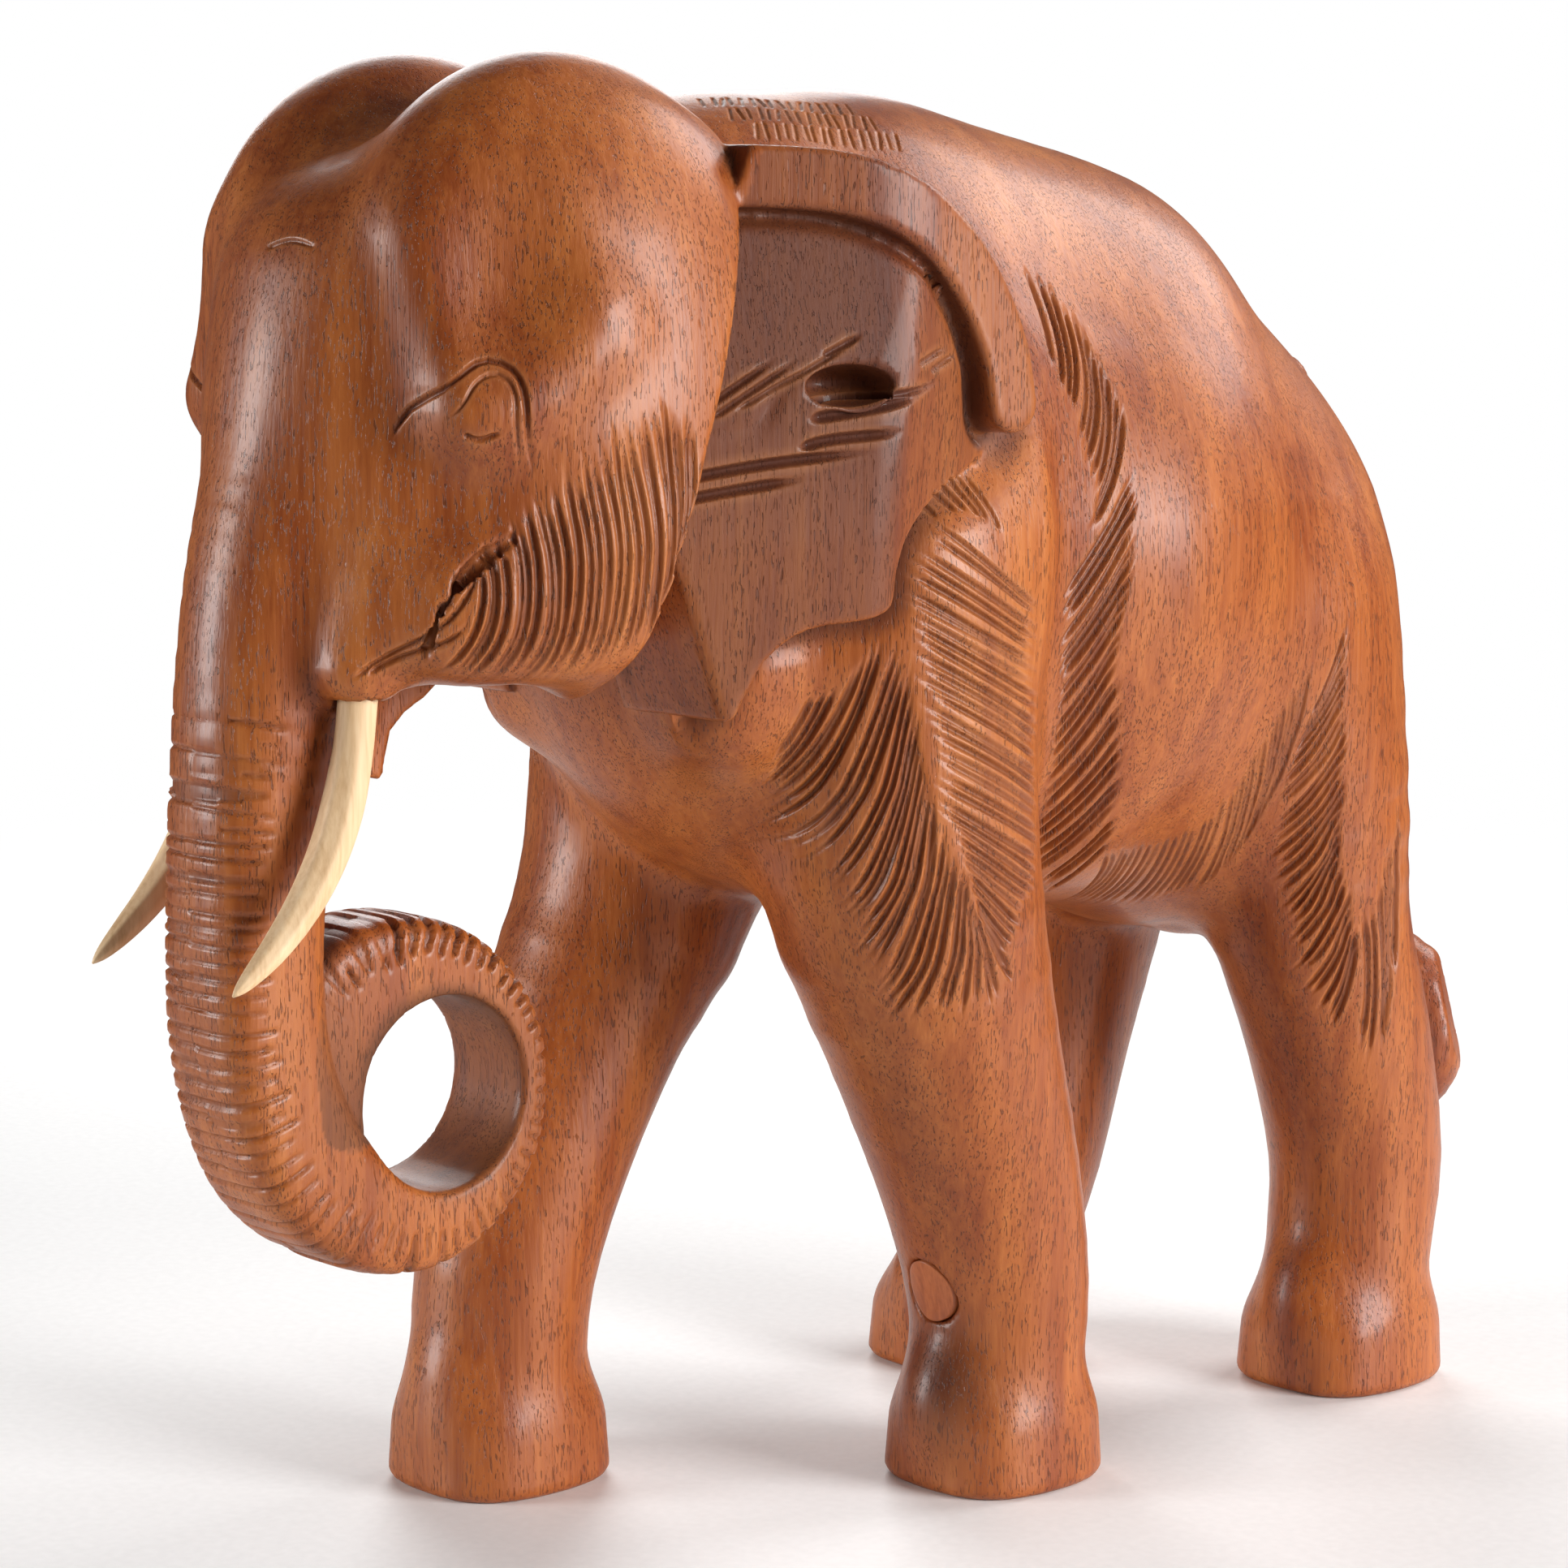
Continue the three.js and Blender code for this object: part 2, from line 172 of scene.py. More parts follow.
def torso(p):
    x, y, z = p
    q = (x * (1.0 + 0.002 * np.maximum(z - 205.0, 0.0)), y, z)
    wood = join([
        ellipsoid(q, (0, -24, 207), (62, 76, 84)),
        ellipsoid(q, (0, 30, 196), (64, 80, 81)),
        ellipsoid(q, (0, 78, 176), (55, 58, 71)),
        ellipsoid(q, (0, -70, 238), (47, 50, 52)),
        limb(p, [(0, -50, 252, 37), (0, -6, 250, 37), (0, 20, 245, 38), (0, 45, 237, 39)]),
        limb(sided(p), [(31, -84, 218, 15), (32, -83, 192, 13.5), (29, -76, 172, 12)]),
    ], 12.0)
    # The flank is cut back just behind the shoulder, so the shoulder stands proud.
    behind = smooth_step(y, -17.0, -10.5) * (1.0 - smooth_step(y, -10.5, 32.0))
    height = smooth_step(z, 108.0, 130.0) * (1.0 - smooth_step(z, 205.0, 240.0))
    return wood + 3.0 * behind * height


def skull(p):
    q = sided(p)
    wood = join([
        ellipsoid(p, (0, -119, 232), (50, 50, 54)),
        ellipsoid(q, (34, -104, 230), (22.5, 43, 58)),
    ], 8.0)
    wood = smooth_min(wood, ellipsoid(q, (21.5, -114, 256), (26, 45, 43)), 10.0)
    brow = limb(q, [(31, -141, 258, 13), (35, -142.5, 246, 12), (37, -143.5, 235, 10.5)])
    cheekbone = limb(q, [(38, -136, 242, 12), (42, -124, 247, 10)])
    wood = join([wood, brow, cheekbone], 9.0)
    jowl = limb(q, [(26, -146, 196, 14.5), (30, -138, 199, 18), (33, -118, 204, 21.5),
                    (33, -104, 209, 22)])
    jaw_edge = limb(q, [(34, -148, 191.5, 8.5), (38, -138, 191.5, 9), (42, -122, 191.5, 9),
                        (43.5, -104, 197, 10)])
    wood = join([wood, jowl, jaw_edge], 7.0)
    temple = ellipsoid(q, (54.0, -150, 260), (14, 14, 21))
    wood = smooth_max(wood, -temple, 13.0)
    bridge_side = limb(q, [(24, -171, 268, 6), (29.5, -168, 255, 7), (33, -166, 240, 7),
                           (36, -164, 226, 5)])
    wood = smooth_max(wood, -bridge_side, 11.0)
    eyelid = ellipsoid(q, (37.0, -146.0, 231.5), (9.5, 8.0, 8.5))
    wood = smooth_min(wood, eyelid, 2.0)
    sheath = limb(q, [(16, -146, 212, 18), (19.5, -155, 194, 12), (21.3, -160, 184.5, 8.2)])
    return smooth_min(wood, sheath, 7.0)


LIP_OUTLINE = [(-165, 202), (-160, 164), (-144.3, 160.2), (-143.6, 164.5), (-142.2, 169.5),
               (-138.7, 172.8), (-134, 175.2), (-120, 186), (-116, 204)]
LIP_HALF_WIDTH = 8.2


def lower_lip(p):
    """A flat plate between the tusks, square below and hollow behind."""
    x, y, z = p
    plate = outline_distance(y, z, np.array(LIP_OUTLINE))
    return smooth_max(plate, np.abs(x) - LIP_HALF_WIDTH, 1.2)


def mouth_crease(p):
    """Where the cheek's front edge stands over the upper lip; deepest at its top."""
    return limb(sided(p), [(33, -159, 176, 0.9), (36, -157.5, 184, 1.1), (38, -155, 192, 1.1),
                           (40, -152, 199, 1.3), (43, -148, 205, 1.6), (46, -143, 209, 0.8)])


def head_edge(y, z):
    """Positive behind the plane where the side of the head is cut off square."""
    return (y + 81.5 + (290.0 - z) * 0.33) * 0.95


def head(p):
    x, y, z = p
    fading = 1.0 - smooth_step(np.abs(x), 14.0, 34.0)
    wood = smooth_max(skull(p), head_edge(y, z) - 25.0 * fading, 1.4)
    wood = smooth_max(wood, -mouth_crease(p), 1.0)
    return smooth_min(wood, lower_lip(p), 1.5)


# Trunk stations: y, z, half-width across, half-thickness.
HANGING_TRUNK = [
    (-142, 252, 25.5, 25.5),
    (-149, 222, 22.5, 24.5),
    (-161.5, 192, 17.8, 19.6),
    (-169, 160, 14.8, 14.6),
    (-171.5, 130, 13.6, 12.8),
]
# Then round the curl: degrees up from +y, distance from its centre, and the same two sizes.
TRUNK_CURL = [
    (165, 40.6, 13.2, 12.4),
    (195, 33.2, 12.6, 12.8),
    (225, 28.75, 12.0, 11.75),
    (255, 26.65, 11.4, 9.65),
    (280, 25.0, 11.0, 8.0),
    (305, 23.5, 10.6, 6.5),
    (330, 22.45, 10.3, 5.45),
    (355, 21.65, 10.2, 4.65),
    (380, 22.0, 10.2, 5.0),
    (405, 22.65, 10.2, 5.65),
    (430, 24.0, 10.2, 7.0),
    (450, 25.5, 10.2, 8.5),
    (470, 27.25, 10.2, 10.25),
    (490, 29.0, 10.1, 12.0),
    (515, 30.0, 9.8, 13.0),
    (545, 30.0, 9.4, 13.0),
]
CURL_HOLE_RADIUS = 19.4


def trunk_path():
    stations = list(HANGING_TRUNK)
    for degrees, distance, width, thickness in TRUNK_CURL:
        angle = math.radians(degrees)
        stations.append((TRUNK_CURL_Y + distance * math.cos(angle),
                         TRUNK_CURL_Z + distance * math.sin(angle), width, thickness))
    return spline(stations, 6)


def trunk_survey(p):
    """Distance to the trunk, how far down its centre line, and how far to the outside."""
    x, y, z = p
    path = trunk_path()
    nearest = np.full(x.shape, 1e9, dtype=np.float32)
    sideways = np.full(x.shape, 1e9, dtype=np.float32)
    along = np.zeros(x.shape, dtype=np.float32)
    outward = np.zeros(x.shape, dtype=np.float32)
    start = 0.0
    for i, (a, b) in enumerate(zip(path[:-1], path[1:])):
        ey, ez = b[0] - a[0], b[1] - a[1]
        length = math.hypot(ey, ez)
        dy, dz = y - a[0], z - a[1]
        t = np.clip((dy * ey + dz * ez) / (length * length), 0.0, 1.0)
        off_y, off_z = dy - t * ey, dz - t * ez
        width = a[2] + (b[2] - a[2]) * t
        thickness = a[3] + (b[3] - a[3]) * t
        # nearly round where it leaves the head; below, squarer and wider on the right
        squarer = min(1.0, max(0.0, (i / len(path) - 0.10) / 0.25))
        power = 2.2 + 2.4 * squarer
        off = np.hypot(off_y, off_z) / thickness
        across = np.abs(x) / np.where(x < 0.0, width + 3.5 * squarer, width)
        reach = (across ** power + off ** power) ** (1.0 / power)
        nearest = np.minimum(nearest, (reach - 1.0) * np.minimum(width, thickness))
        closer = off < sideways
        sideways = np.where(closer, off, sideways)
        along = np.where(closer, start + t * length, along)
        outward = np.where(closer, (off_y * ez - off_z * ey) / length / thickness, outward)
        start += length
    return nearest, along, outward


def trunk(p):
    _, y, z = p
    hole = CURL_HOLE_RADIUS - np.hypot(y - TRUNK_CURL_Y, z - TRUNK_CURL_Z)
    return smooth_max(trunk_survey(p)[0], hole, 1.0)


# The ear, seen from the side as (y, z).
EAR_OUTLINE = [(-112, 281), (-84, 281), (-66, 279.5), (-52, 274.5), (-40, 266), (-31, 256),
               (-25, 244), (-22.5, 233), (-24.5, 224), (-34, 218.5), (-47, 212.5), (-55, 206),
               (-58.5, 199), (-59.5, 192), (-66, 189.5), (-77, 188), (-85, 182), (-91, 170),
               (-95, 178), (-99, 190), (-104, 203), (-114, 216), (-118, 262)]
EAR_RIM = [(-108, 275), (-84, 275.2), (-68, 273.7), (-55, 269), (-45, 261.5), (-37, 252),
           (-31.5, 241), (-29.2, 230.5)]


def ear_edge(y, z):
    return outline_distance(y, z, spline(EAR_OUTLINE, 3))


def ear(p):
    x, y, z = sided(p)
    low, high = np.maximum(205.0 - z, 0.0), np.maximum(z - 238.0, 0.0)
    front_facet = 46.0 + 0.41 * (y + 105.0) - 0.08 * low - 0.22 * high
    rear_facet = 63.2 - 0.22 * (y + 60.0) + 0.08 * (z - 215.0) - 0.12 * high
    surface = smooth_min(front_facet, np.minimum(rear_facet, 64.0), 2.0)
    flap = smooth_max(ear_edge(y, z), x - surface, 1.6)
    from_rim = curve_distance(y, z, spline(EAR_RIM, 3))
    valley = 2.8 * np.exp(-((from_rim - 7.4) / 1.7) ** 2)
    rim_top = smooth_min(48.5 + 0.50 * (y + 88.0), 63.2 + 0.06 * (y + 56.0), 4.0)
    rim = smooth_max(from_rim - 6.0, x - rim_top, 1.8)
    wood = smooth_min(flap + valley, rim, 0.6)
    hole = ellipsoid((x, y, z), (61.0, -70.2, 235.2), (12, 9.0, 4.2))
    swirl = limb((x, y, z), [(59, -79, 238, 1.4), (56.5, -85, 233.5, 2.6),
                             (55.0, -88.5, 228, 2.4), (51.5, -97, 226, 1.6),
                             (49.0, -103, 226.5, 1.0)])
    wood = smooth_max(wood, -hole, 0.8)
    wood = smooth_max(wood, -swirl, 1.2)
    return smooth_max(smooth_max(wood, 18.0 - x, 1.0), -head_edge(y, z) - 1.5, 0.6)


LEGS = {                       # stations x, y, z, radius; the last is under the sole
    "left_fore": [
        (30, -34, 190, 32), (33, -32, 140, 30), (35, -20, 98, 24.5), (35, -9, 67, 21.5),
        (35, -3, 42, 19.6), (35, -3, 20, 18.4), (35, -4, -12, 18.4)],
    "right_fore": [
        (-30, -34, 190, 32), (-33, -42, 130, 27), (-35, -58, 98, 22.5), (-35, -72, 70, 20.5),
        (-35, -81, 44, 19.2), (-35, -83, 20, 18.6), (-35, -83, -12, 18.6)],
    "left_hind": [
        (26, 82, 175, 32), (31, 92, 142, 27.6), (34, 98, 108, 22.6), (35, 107, 81, 21),
        (35, 114, 52, 19.8), (35, 112, 28, 18.8), (35, 109, -12, 18.0)],
    "right_hind": [
        (-26, 82, 175, 32), (-31, 92, 140, 28), (-34, 88, 100, 23), (-35, 82, 74, 21),
        (-35, 74, 48, 20.4), (-35, 65, 24, 19.4), (-35, 59, -12, 18.6)],
}
FEET = {                       # centre x, y, half-sizes, and how far the toes stand forward
    "left_fore": (35, -4, 18.2, 19.4, 4.5),
    "right_fore": (-35, -83, 18.2, 20.0, 0.5),
    "left_hind": (35, 109.5, 18.2, 20.2, 2.0),
    "right_hind": (-35, 59, 18.6, 20.6, 2.0),
}
FOOT_HEIGHT = 22.0
FOOT_ROUNDING = 10.0


def foot(p, name):
    """A block with round corners, narrowing upwards into the ankle."""
    x, y, z = p
    centre_x, centre_y, half_x, half_y, toes = FEET[name]
    narrower = 0.07 * np.maximum(z - 3.0, 0.0) + 0.5 * np.maximum(2.0 - z, 0.0)
    dx = np.maximum(np.abs(x - centre_x) - (half_x - FOOT_ROUNDING - narrower), 0.0)
    dy = np.maximum(np.abs(y - centre_y) - (half_y - FOOT_ROUNDING - narrower), 0.0)
    dz = np.maximum(z - (FOOT_HEIGHT - FOOT_ROUNDING), 0.0)
    sole = np.sqrt(dx ** 2 + dy ** 2 + dz ** 2) - FOOT_ROUNDING
    toe = ellipsoid(p, (centre_x + 1.0, centre_y - half_y + 8.0, 17.0), (11, 8.0 + toes, 14))
    return smooth_min(sole, toe, 5.0)


def leg(name):
    def region(p):
        return smooth_min(limb(p, LEGS[name]), foot(p, name), 9.0)
    return region


def tail(p):
    """The dock hangs down the middle, then swings left to a tuft cut in flat faces."""
    dock = limb(p, [(0, 122, 226, 8), (0, 133, 200, 6.5), (1, 137, 160, 6),
                    (3, 135, 124, 6.5), (10, 135, 104, 7), (22, 137, 93, 7.5)])
    tuft = limb(p, [(20, 137, 94, 7), (29, 139, 88, 9.5), (33, 140, 76, 10.5),
                    (33, 139.5, 66, 7.5), (32, 139, 60, 3.5)])
    x, y, z = p
    outer_face = (x - 38.5) * 0.80 + (y - 140.0) * 0.55 + (z - 82.0) * 0.22 - 1.5
    rear_face = (x - 34.0) * 0.15 + (y - 147.5) * 0.97 + (z - 80.0) * 0.18
    front_face = (x - 38.0) * 0.75 - (y - 134.5) * 0.62 + (z - 80.0) * 0.22 - 2.0
    tuft = smooth_max(tuft, np.maximum.reduce([outer_face, rear_face, front_face]), 0.8)
    return smooth_min(dock, tuft, 3.0)


TUSK_ROOT = Vector((21.5, -161.0, 173.0))
TUSK_TIP = Vector((23.0, -191.0, 126.0))
SOCKET_AXIS = Vector((0.0, 0.12, 1.0)).normalized()
SOCKET_DEPTH = 16.0
SOCKET_OVERRUN = 6.0           # the drill's path starts this far outside the wood
TUSK_ROOT_RADIUS = 4.2
TUSK_STRAIGHT_RUN = 24.0       # how far the tusk's curve heads straight out of the socket
TUSK_TIP_SWEEP = Vector((0.0, 15.0, 11.0))   # the curve comes to the tip from here
TUSK_TAPER = 2.3
TUSK_FLATS = 7                 # knife flats round a tusk, and how deep they are
TUSK_FLAT_DEPTH = 0.035
FIT_GAP = 0.3


def tusk_sockets(p):
    radius = TUSK_ROOT_RADIUS + FIT_GAP
    mouth = (*(TUSK_ROOT - SOCKET_AXIS * SOCKET_OVERRUN), radius)
    end = (*(TUSK_ROOT + SOCKET_AXIS * SOCKET_DEPTH), radius)
    return limb(p, [mouth, end], 1)


def belly_knot(p):
    """The small bump under the belly, in front of the hind legs."""
    return ellipsoid(p, (8, 84, 112), (11, 13, 9))


PATCH_X, PATCH_Z = 35.0, 43.0
PATCH_HALF_WIDTH, PATCH_HALF_HEIGHT = 6.5, 7.0
PATCH_BACK_Y = -17.5           # the floor of the patch's pocket
PATCH_START_Y = -40.0          # well in front of the ankle


def patch_pocket(p):
    x, y, z = p
    oval = np.hypot((x - PATCH_X) / PATCH_HALF_WIDTH, (z - PATCH_Z) / PATCH_HALF_HEIGHT) - 1.0
    return np.maximum(oval * PATCH_HALF_WIDTH, y - PATCH_BACK_Y)


# Each part of the block, the box it lies in, and how widely it blends into the rest.
LIMBS = [
    (leg("left_hind"), (-8, 60, -40), (66, 142, 210), 12.0),
    (leg("right_hind"), (-66, 30, -40), (8, 130, 210), 12.0),
    (leg("left_fore"), (-4, -68, -40), (66, 26, 224), 7.0),
    (leg("right_fore"), (-66, -112, -40), (4, 2, 224), 7.0),
    (tail, (-12, 112, 56), (46, 156, 236), 4.0),
    (belly_knot, (-4, 70, 102), (20, 98, 122), 2.5),
]
HEAD_PARTS = [
    (ear, (-70, -123, 160), (70, -20, 284), 0.6),
    (head, (-58, -176, 158), (58, -60, 304), 0.6),
    (trunk, (-36, -200, 54), (36, -94, 288), 6.0),
]
EAR_CUT_DEPTH = 3.4
EAR_CUT_WIDTH = 6.0


def block(p):
    """The whole carved block, before the sockets, the pocket and the knife grooves."""
    x, y, z = p
    wood = torso(p)
    for region, low, high, blend in LIMBS:
        wood = smooth_min(wood, within(region, p, low, high), blend)
    # The block is cut back along the ear's lower edge, so the ear stands off the shoulder.
    beside = (np.abs(x) > 30.0) & (y < 0.0) & (y > -108.0) & (z > 160.0) & (z < 295.0)
    edge = ear_edge(y[beside], z[beside])
    fading = np.exp(-(np.maximum(edge, 0.0) / EAR_CUT_WIDTH) ** 2)
    wood[beside] += EAR_CUT_DEPTH * fading * (edge > -20.0)
    for region, low, high, blend in HEAD_PARTS:
        wood = smooth_min(wood, within(region, p, low, high), blend)
    return smooth_max(wood, -z, 1.5)


def body(p):
    sockets = within(tusk_sockets, sided(p), (16, -182, 160), (27, -154, 194))
    wood = smooth_max(block(p), -sockets, 0.4)
    pocket = within(patch_pocket, p, (28, -42, 36), (42, -17, 50))
    return smooth_max(wood, -pocket, 0.3)


# ---- from distances to a mesh ----

def columns(points):
    return tuple(points[:, i].astype(np.float32) for i in range(3))


CHUNK = 6                      # voxels along the side of a chunk of the grid


def grid_index(counts):
    """Every index of a grid of the given size, one row each."""
    return np.stack(np.meshgrid(*[np.arange(n) for n in counts], indexing="ij"), -1).reshape(-1, 3)


def sampled_block():
    """Distances on the whole grid, worked out exactly only near the surface."""
    cells = np.ceil((HIGH - LOW) / (VOXEL * CHUNK)).astype(int)
    index = grid_index(cells)
    rough = body(columns(LOW + (index * CHUNK + (CHUNK - 1) / 2) * VOXEL))
    values = np.empty(cells * CHUNK, dtype=np.float32)
    chunks = values.reshape(cells[0], CHUNK, cells[1], CHUNK, cells[2], CHUNK)
    chunks[...] = rough.reshape(cells)[:, None, :, None, :, None]
    half_diagonal = CHUNK * VOXEL * 0.87
    near = np.abs(rough) < half_diagonal + 3.0
    offsets = grid_index([CHUNK] * 3)
    for group in np.array_split(index[near], max(1, int(near.sum()) // 2000)):
        voxels = (group[:, None, :] * CHUNK + offsets[None]).reshape(-1, 3)
        fine = body(columns(LOW + voxels * VOXEL))
        values[voxels[:, 0], voxels[:, 1], voxels[:, 2]] = fine
    return values


def skin(values):
    """Quads over the zero level of the grid."""
    grid = openvdb.FloatGrid(FAR_AWAY)
    grid.copyFromArray(values)
    points, quads = grid.convertToQuads(0.0)
    return points * VOXEL + LOW, quads


def gradient(points, step=0.25):
    """Unit outward directions of the distance field."""
    slopes = []
    for axis in range(3):
        offset = np.zeros(3)
        offset[axis] = step
        slopes.append(body(columns(points + offset)) - body(columns(points - offset)))
    directions = np.stack(slopes, 1).astype(float)
    return directions / np.maximum(np.linalg.norm(directions, axis=1, keepdims=True), 1e-9)


def settle(points, rounds, furthest=1.0):
    """Moves points onto the surface along the field's own slope."""
    for _ in range(rounds):
        distance = np.clip(body(columns(points)), -furthest, furthest)
        points = points - gradient(points) * distance[:, None]
    return points


def refine(mesh, chosen):
    """Splits every chosen face in four."""
    work = bmesh.new()
    work.from_mesh(mesh)
    work.faces.ensure_lookup_table()
    edges = {edge for i in np.nonzero(chosen)[0] for edge in work.faces[i].edges}
    bmesh.ops.subdivide_edges(work, edges=sorted(edges, key=lambda e: e.index), cuts=1,
                              use_grid_fill=True)
    work.to_mesh(mesh)
    work.free()


def mesh_points(mesh):
    flat = np.empty(len(mesh.vertices) * 3, dtype=np.float32)
    mesh.vertices.foreach_get("co", flat)
    return flat.reshape(-1, 3).astype(float)


def set_points(mesh, points):
    mesh.vertices.foreach_set("co", np.asarray(points, dtype=np.float32).ravel())
    mesh.update()


def face_touches(mesh, marked):
    """Faces with a marked vertex."""
    corners = np.empty(len(mesh.loops), dtype=np.int32)
    mesh.loops.foreach_get("vertex_index", corners)
    starts = np.empty(len(mesh.polygons), dtype=np.int32)
    mesh.polygons.foreach_get("loop_start", starts)
    return np.maximum.reduceat(marked[corners].astype(np.int8), starts) > 0


def sharp_vertices(mesh, directions, limit):
    """Vertices where the surface turns through more than the limit along an edge."""
    ends = np.empty(len(mesh.edges) * 2, dtype=np.int32)
    mesh.edges.foreach_get("vertices", ends)
    a, b = ends[0::2], ends[1::2]
    turns = (directions[a] * directions[b]).sum(1) < math.cos(math.radians(limit))
    marked = np.zeros(len(directions), dtype=bool)
    marked[a[turns]] = True
    marked[b[turns]] = True
    return marked


# ---- the gouge ----

class Stroke:
    """One cut of the V gouge: a path on the surface, its width and its depth."""

    def __init__(self, flat, view, width, depth, blunt=False):
        self.path = lifted(flat, view)
        self.view = view
        self.side = 1.0
        self.width = width
        self.depth = depth
        self.blunt = blunt


def along_curve(points, places):
    """Points at fractions of the way along a smooth curve through the given ones."""
    curve = spline(points, 8)
    lengths = np.concatenate([[0.0], np.cumsum(np.linalg.norm(np.diff(curve, axis=0), axis=1))])
    wanted = np.asarray(places) * lengths[-1]
    return np.stack([np.interp(wanted, lengths, curve[:, i]) for i in range(curve.shape[1])], 1)


DROPS = {                      # each view's axis, where strokes start on it, and which way they go
    "side": (0, 76.0, -1.0),
    "front": (1, -198.0, 1.0),
    "top": (2, 306.0, -1.0),
}
DROP_ROUNDS = 70
DROP_SHARE = 0.6               # each round moves a point this share of its distance
LANDED = 0.5                   # a point this near the wood has met it, mm


def drop(strokes):
    """Moves flat paths along their view's axis until they meet the wood."""
    sizes = [len(stroke.path) for stroke in strokes]
    points = np.vstack([stroke.path for stroke in strokes])
    moves = []
    for stroke, size in zip(strokes, sizes):
        axis, _, direction = DROPS[stroke.view]
        moves.append(np.tile(np.eye(3)[axis] * direction, (size, 1)) * (stroke.side, 1, 1))
    moves = np.vstack(moves)
    for _ in range(DROP_ROUNDS):
        step = np.clip(body(columns(points)) * DROP_SHARE, -1.0, 12.0)
        points = points + moves * step[:, None]
    landed = np.abs(body(columns(points))) < LANDED
    ends = np.cumsum(sizes)[:-1]
    for stroke, path, on in zip(strokes, np.split(points, ends), np.split(landed, ends)):
        stroke.path = path[on]


def lifted(flat, view):
    """Flat coordinates to points in front of the wood, on that view's side."""
    flat = np.asarray(flat, dtype=float)
    axis, start, _ = DROPS[view]
    return np.insert(flat, axis, start, axis=1)


def hatch(rng, count, bow, width, depth, starts, ends, view="side"):
    """Strokes side by side, from one curve to another, each bowed a little sideways."""
    places = (np.arange(count) + 0.5) / count
    wobble = rng.uniform(-0.3, 0.3, (2, count)) / count
    first = along_curve(starts, np.clip(places + wobble[0], 0, 1))
    last = along_curve(ends, np.clip(places + wobble[1], 0, 1))
    reach = rng.uniform(-0.05, 0.05, (2, count, 1))
    first, last = first + (last - first) * reach[0], last + (last - first) * reach[1]
    across = (last - first)[:, ::-1] * (-1.0, 1.0)
    middle = (first + last) / 2 + across * (bow + rng.uniform(-0.012, 0.012, (count, 1)))
    strokes = []
    for a, m, b in zip(first, middle, last):
        t = np.linspace(0.0, 1.0, max(8, int(np.linalg.norm(b - a) / 1.5)))[:, None]
        path = a * (1 - t) ** 2 + (2 * m - (a + b) / 2) * 2 * t * (1 - t) + b * t ** 2
        strokes.append(Stroke(path, view, width * rng.uniform(0.85, 1.15),
                              depth * rng.uniform(0.8, 1.2)))
    return strokes


def single_cuts(cuts, view="side"):
    """Cuts drawn one by one: points, width and depth."""
    strokes = []
    for points, width, depth in cuts:
        path = along_curve(points, np.linspace(0.0, 1.0, 24))
        strokes.append(Stroke(path, view, width, depth, blunt=True))
    return strokes


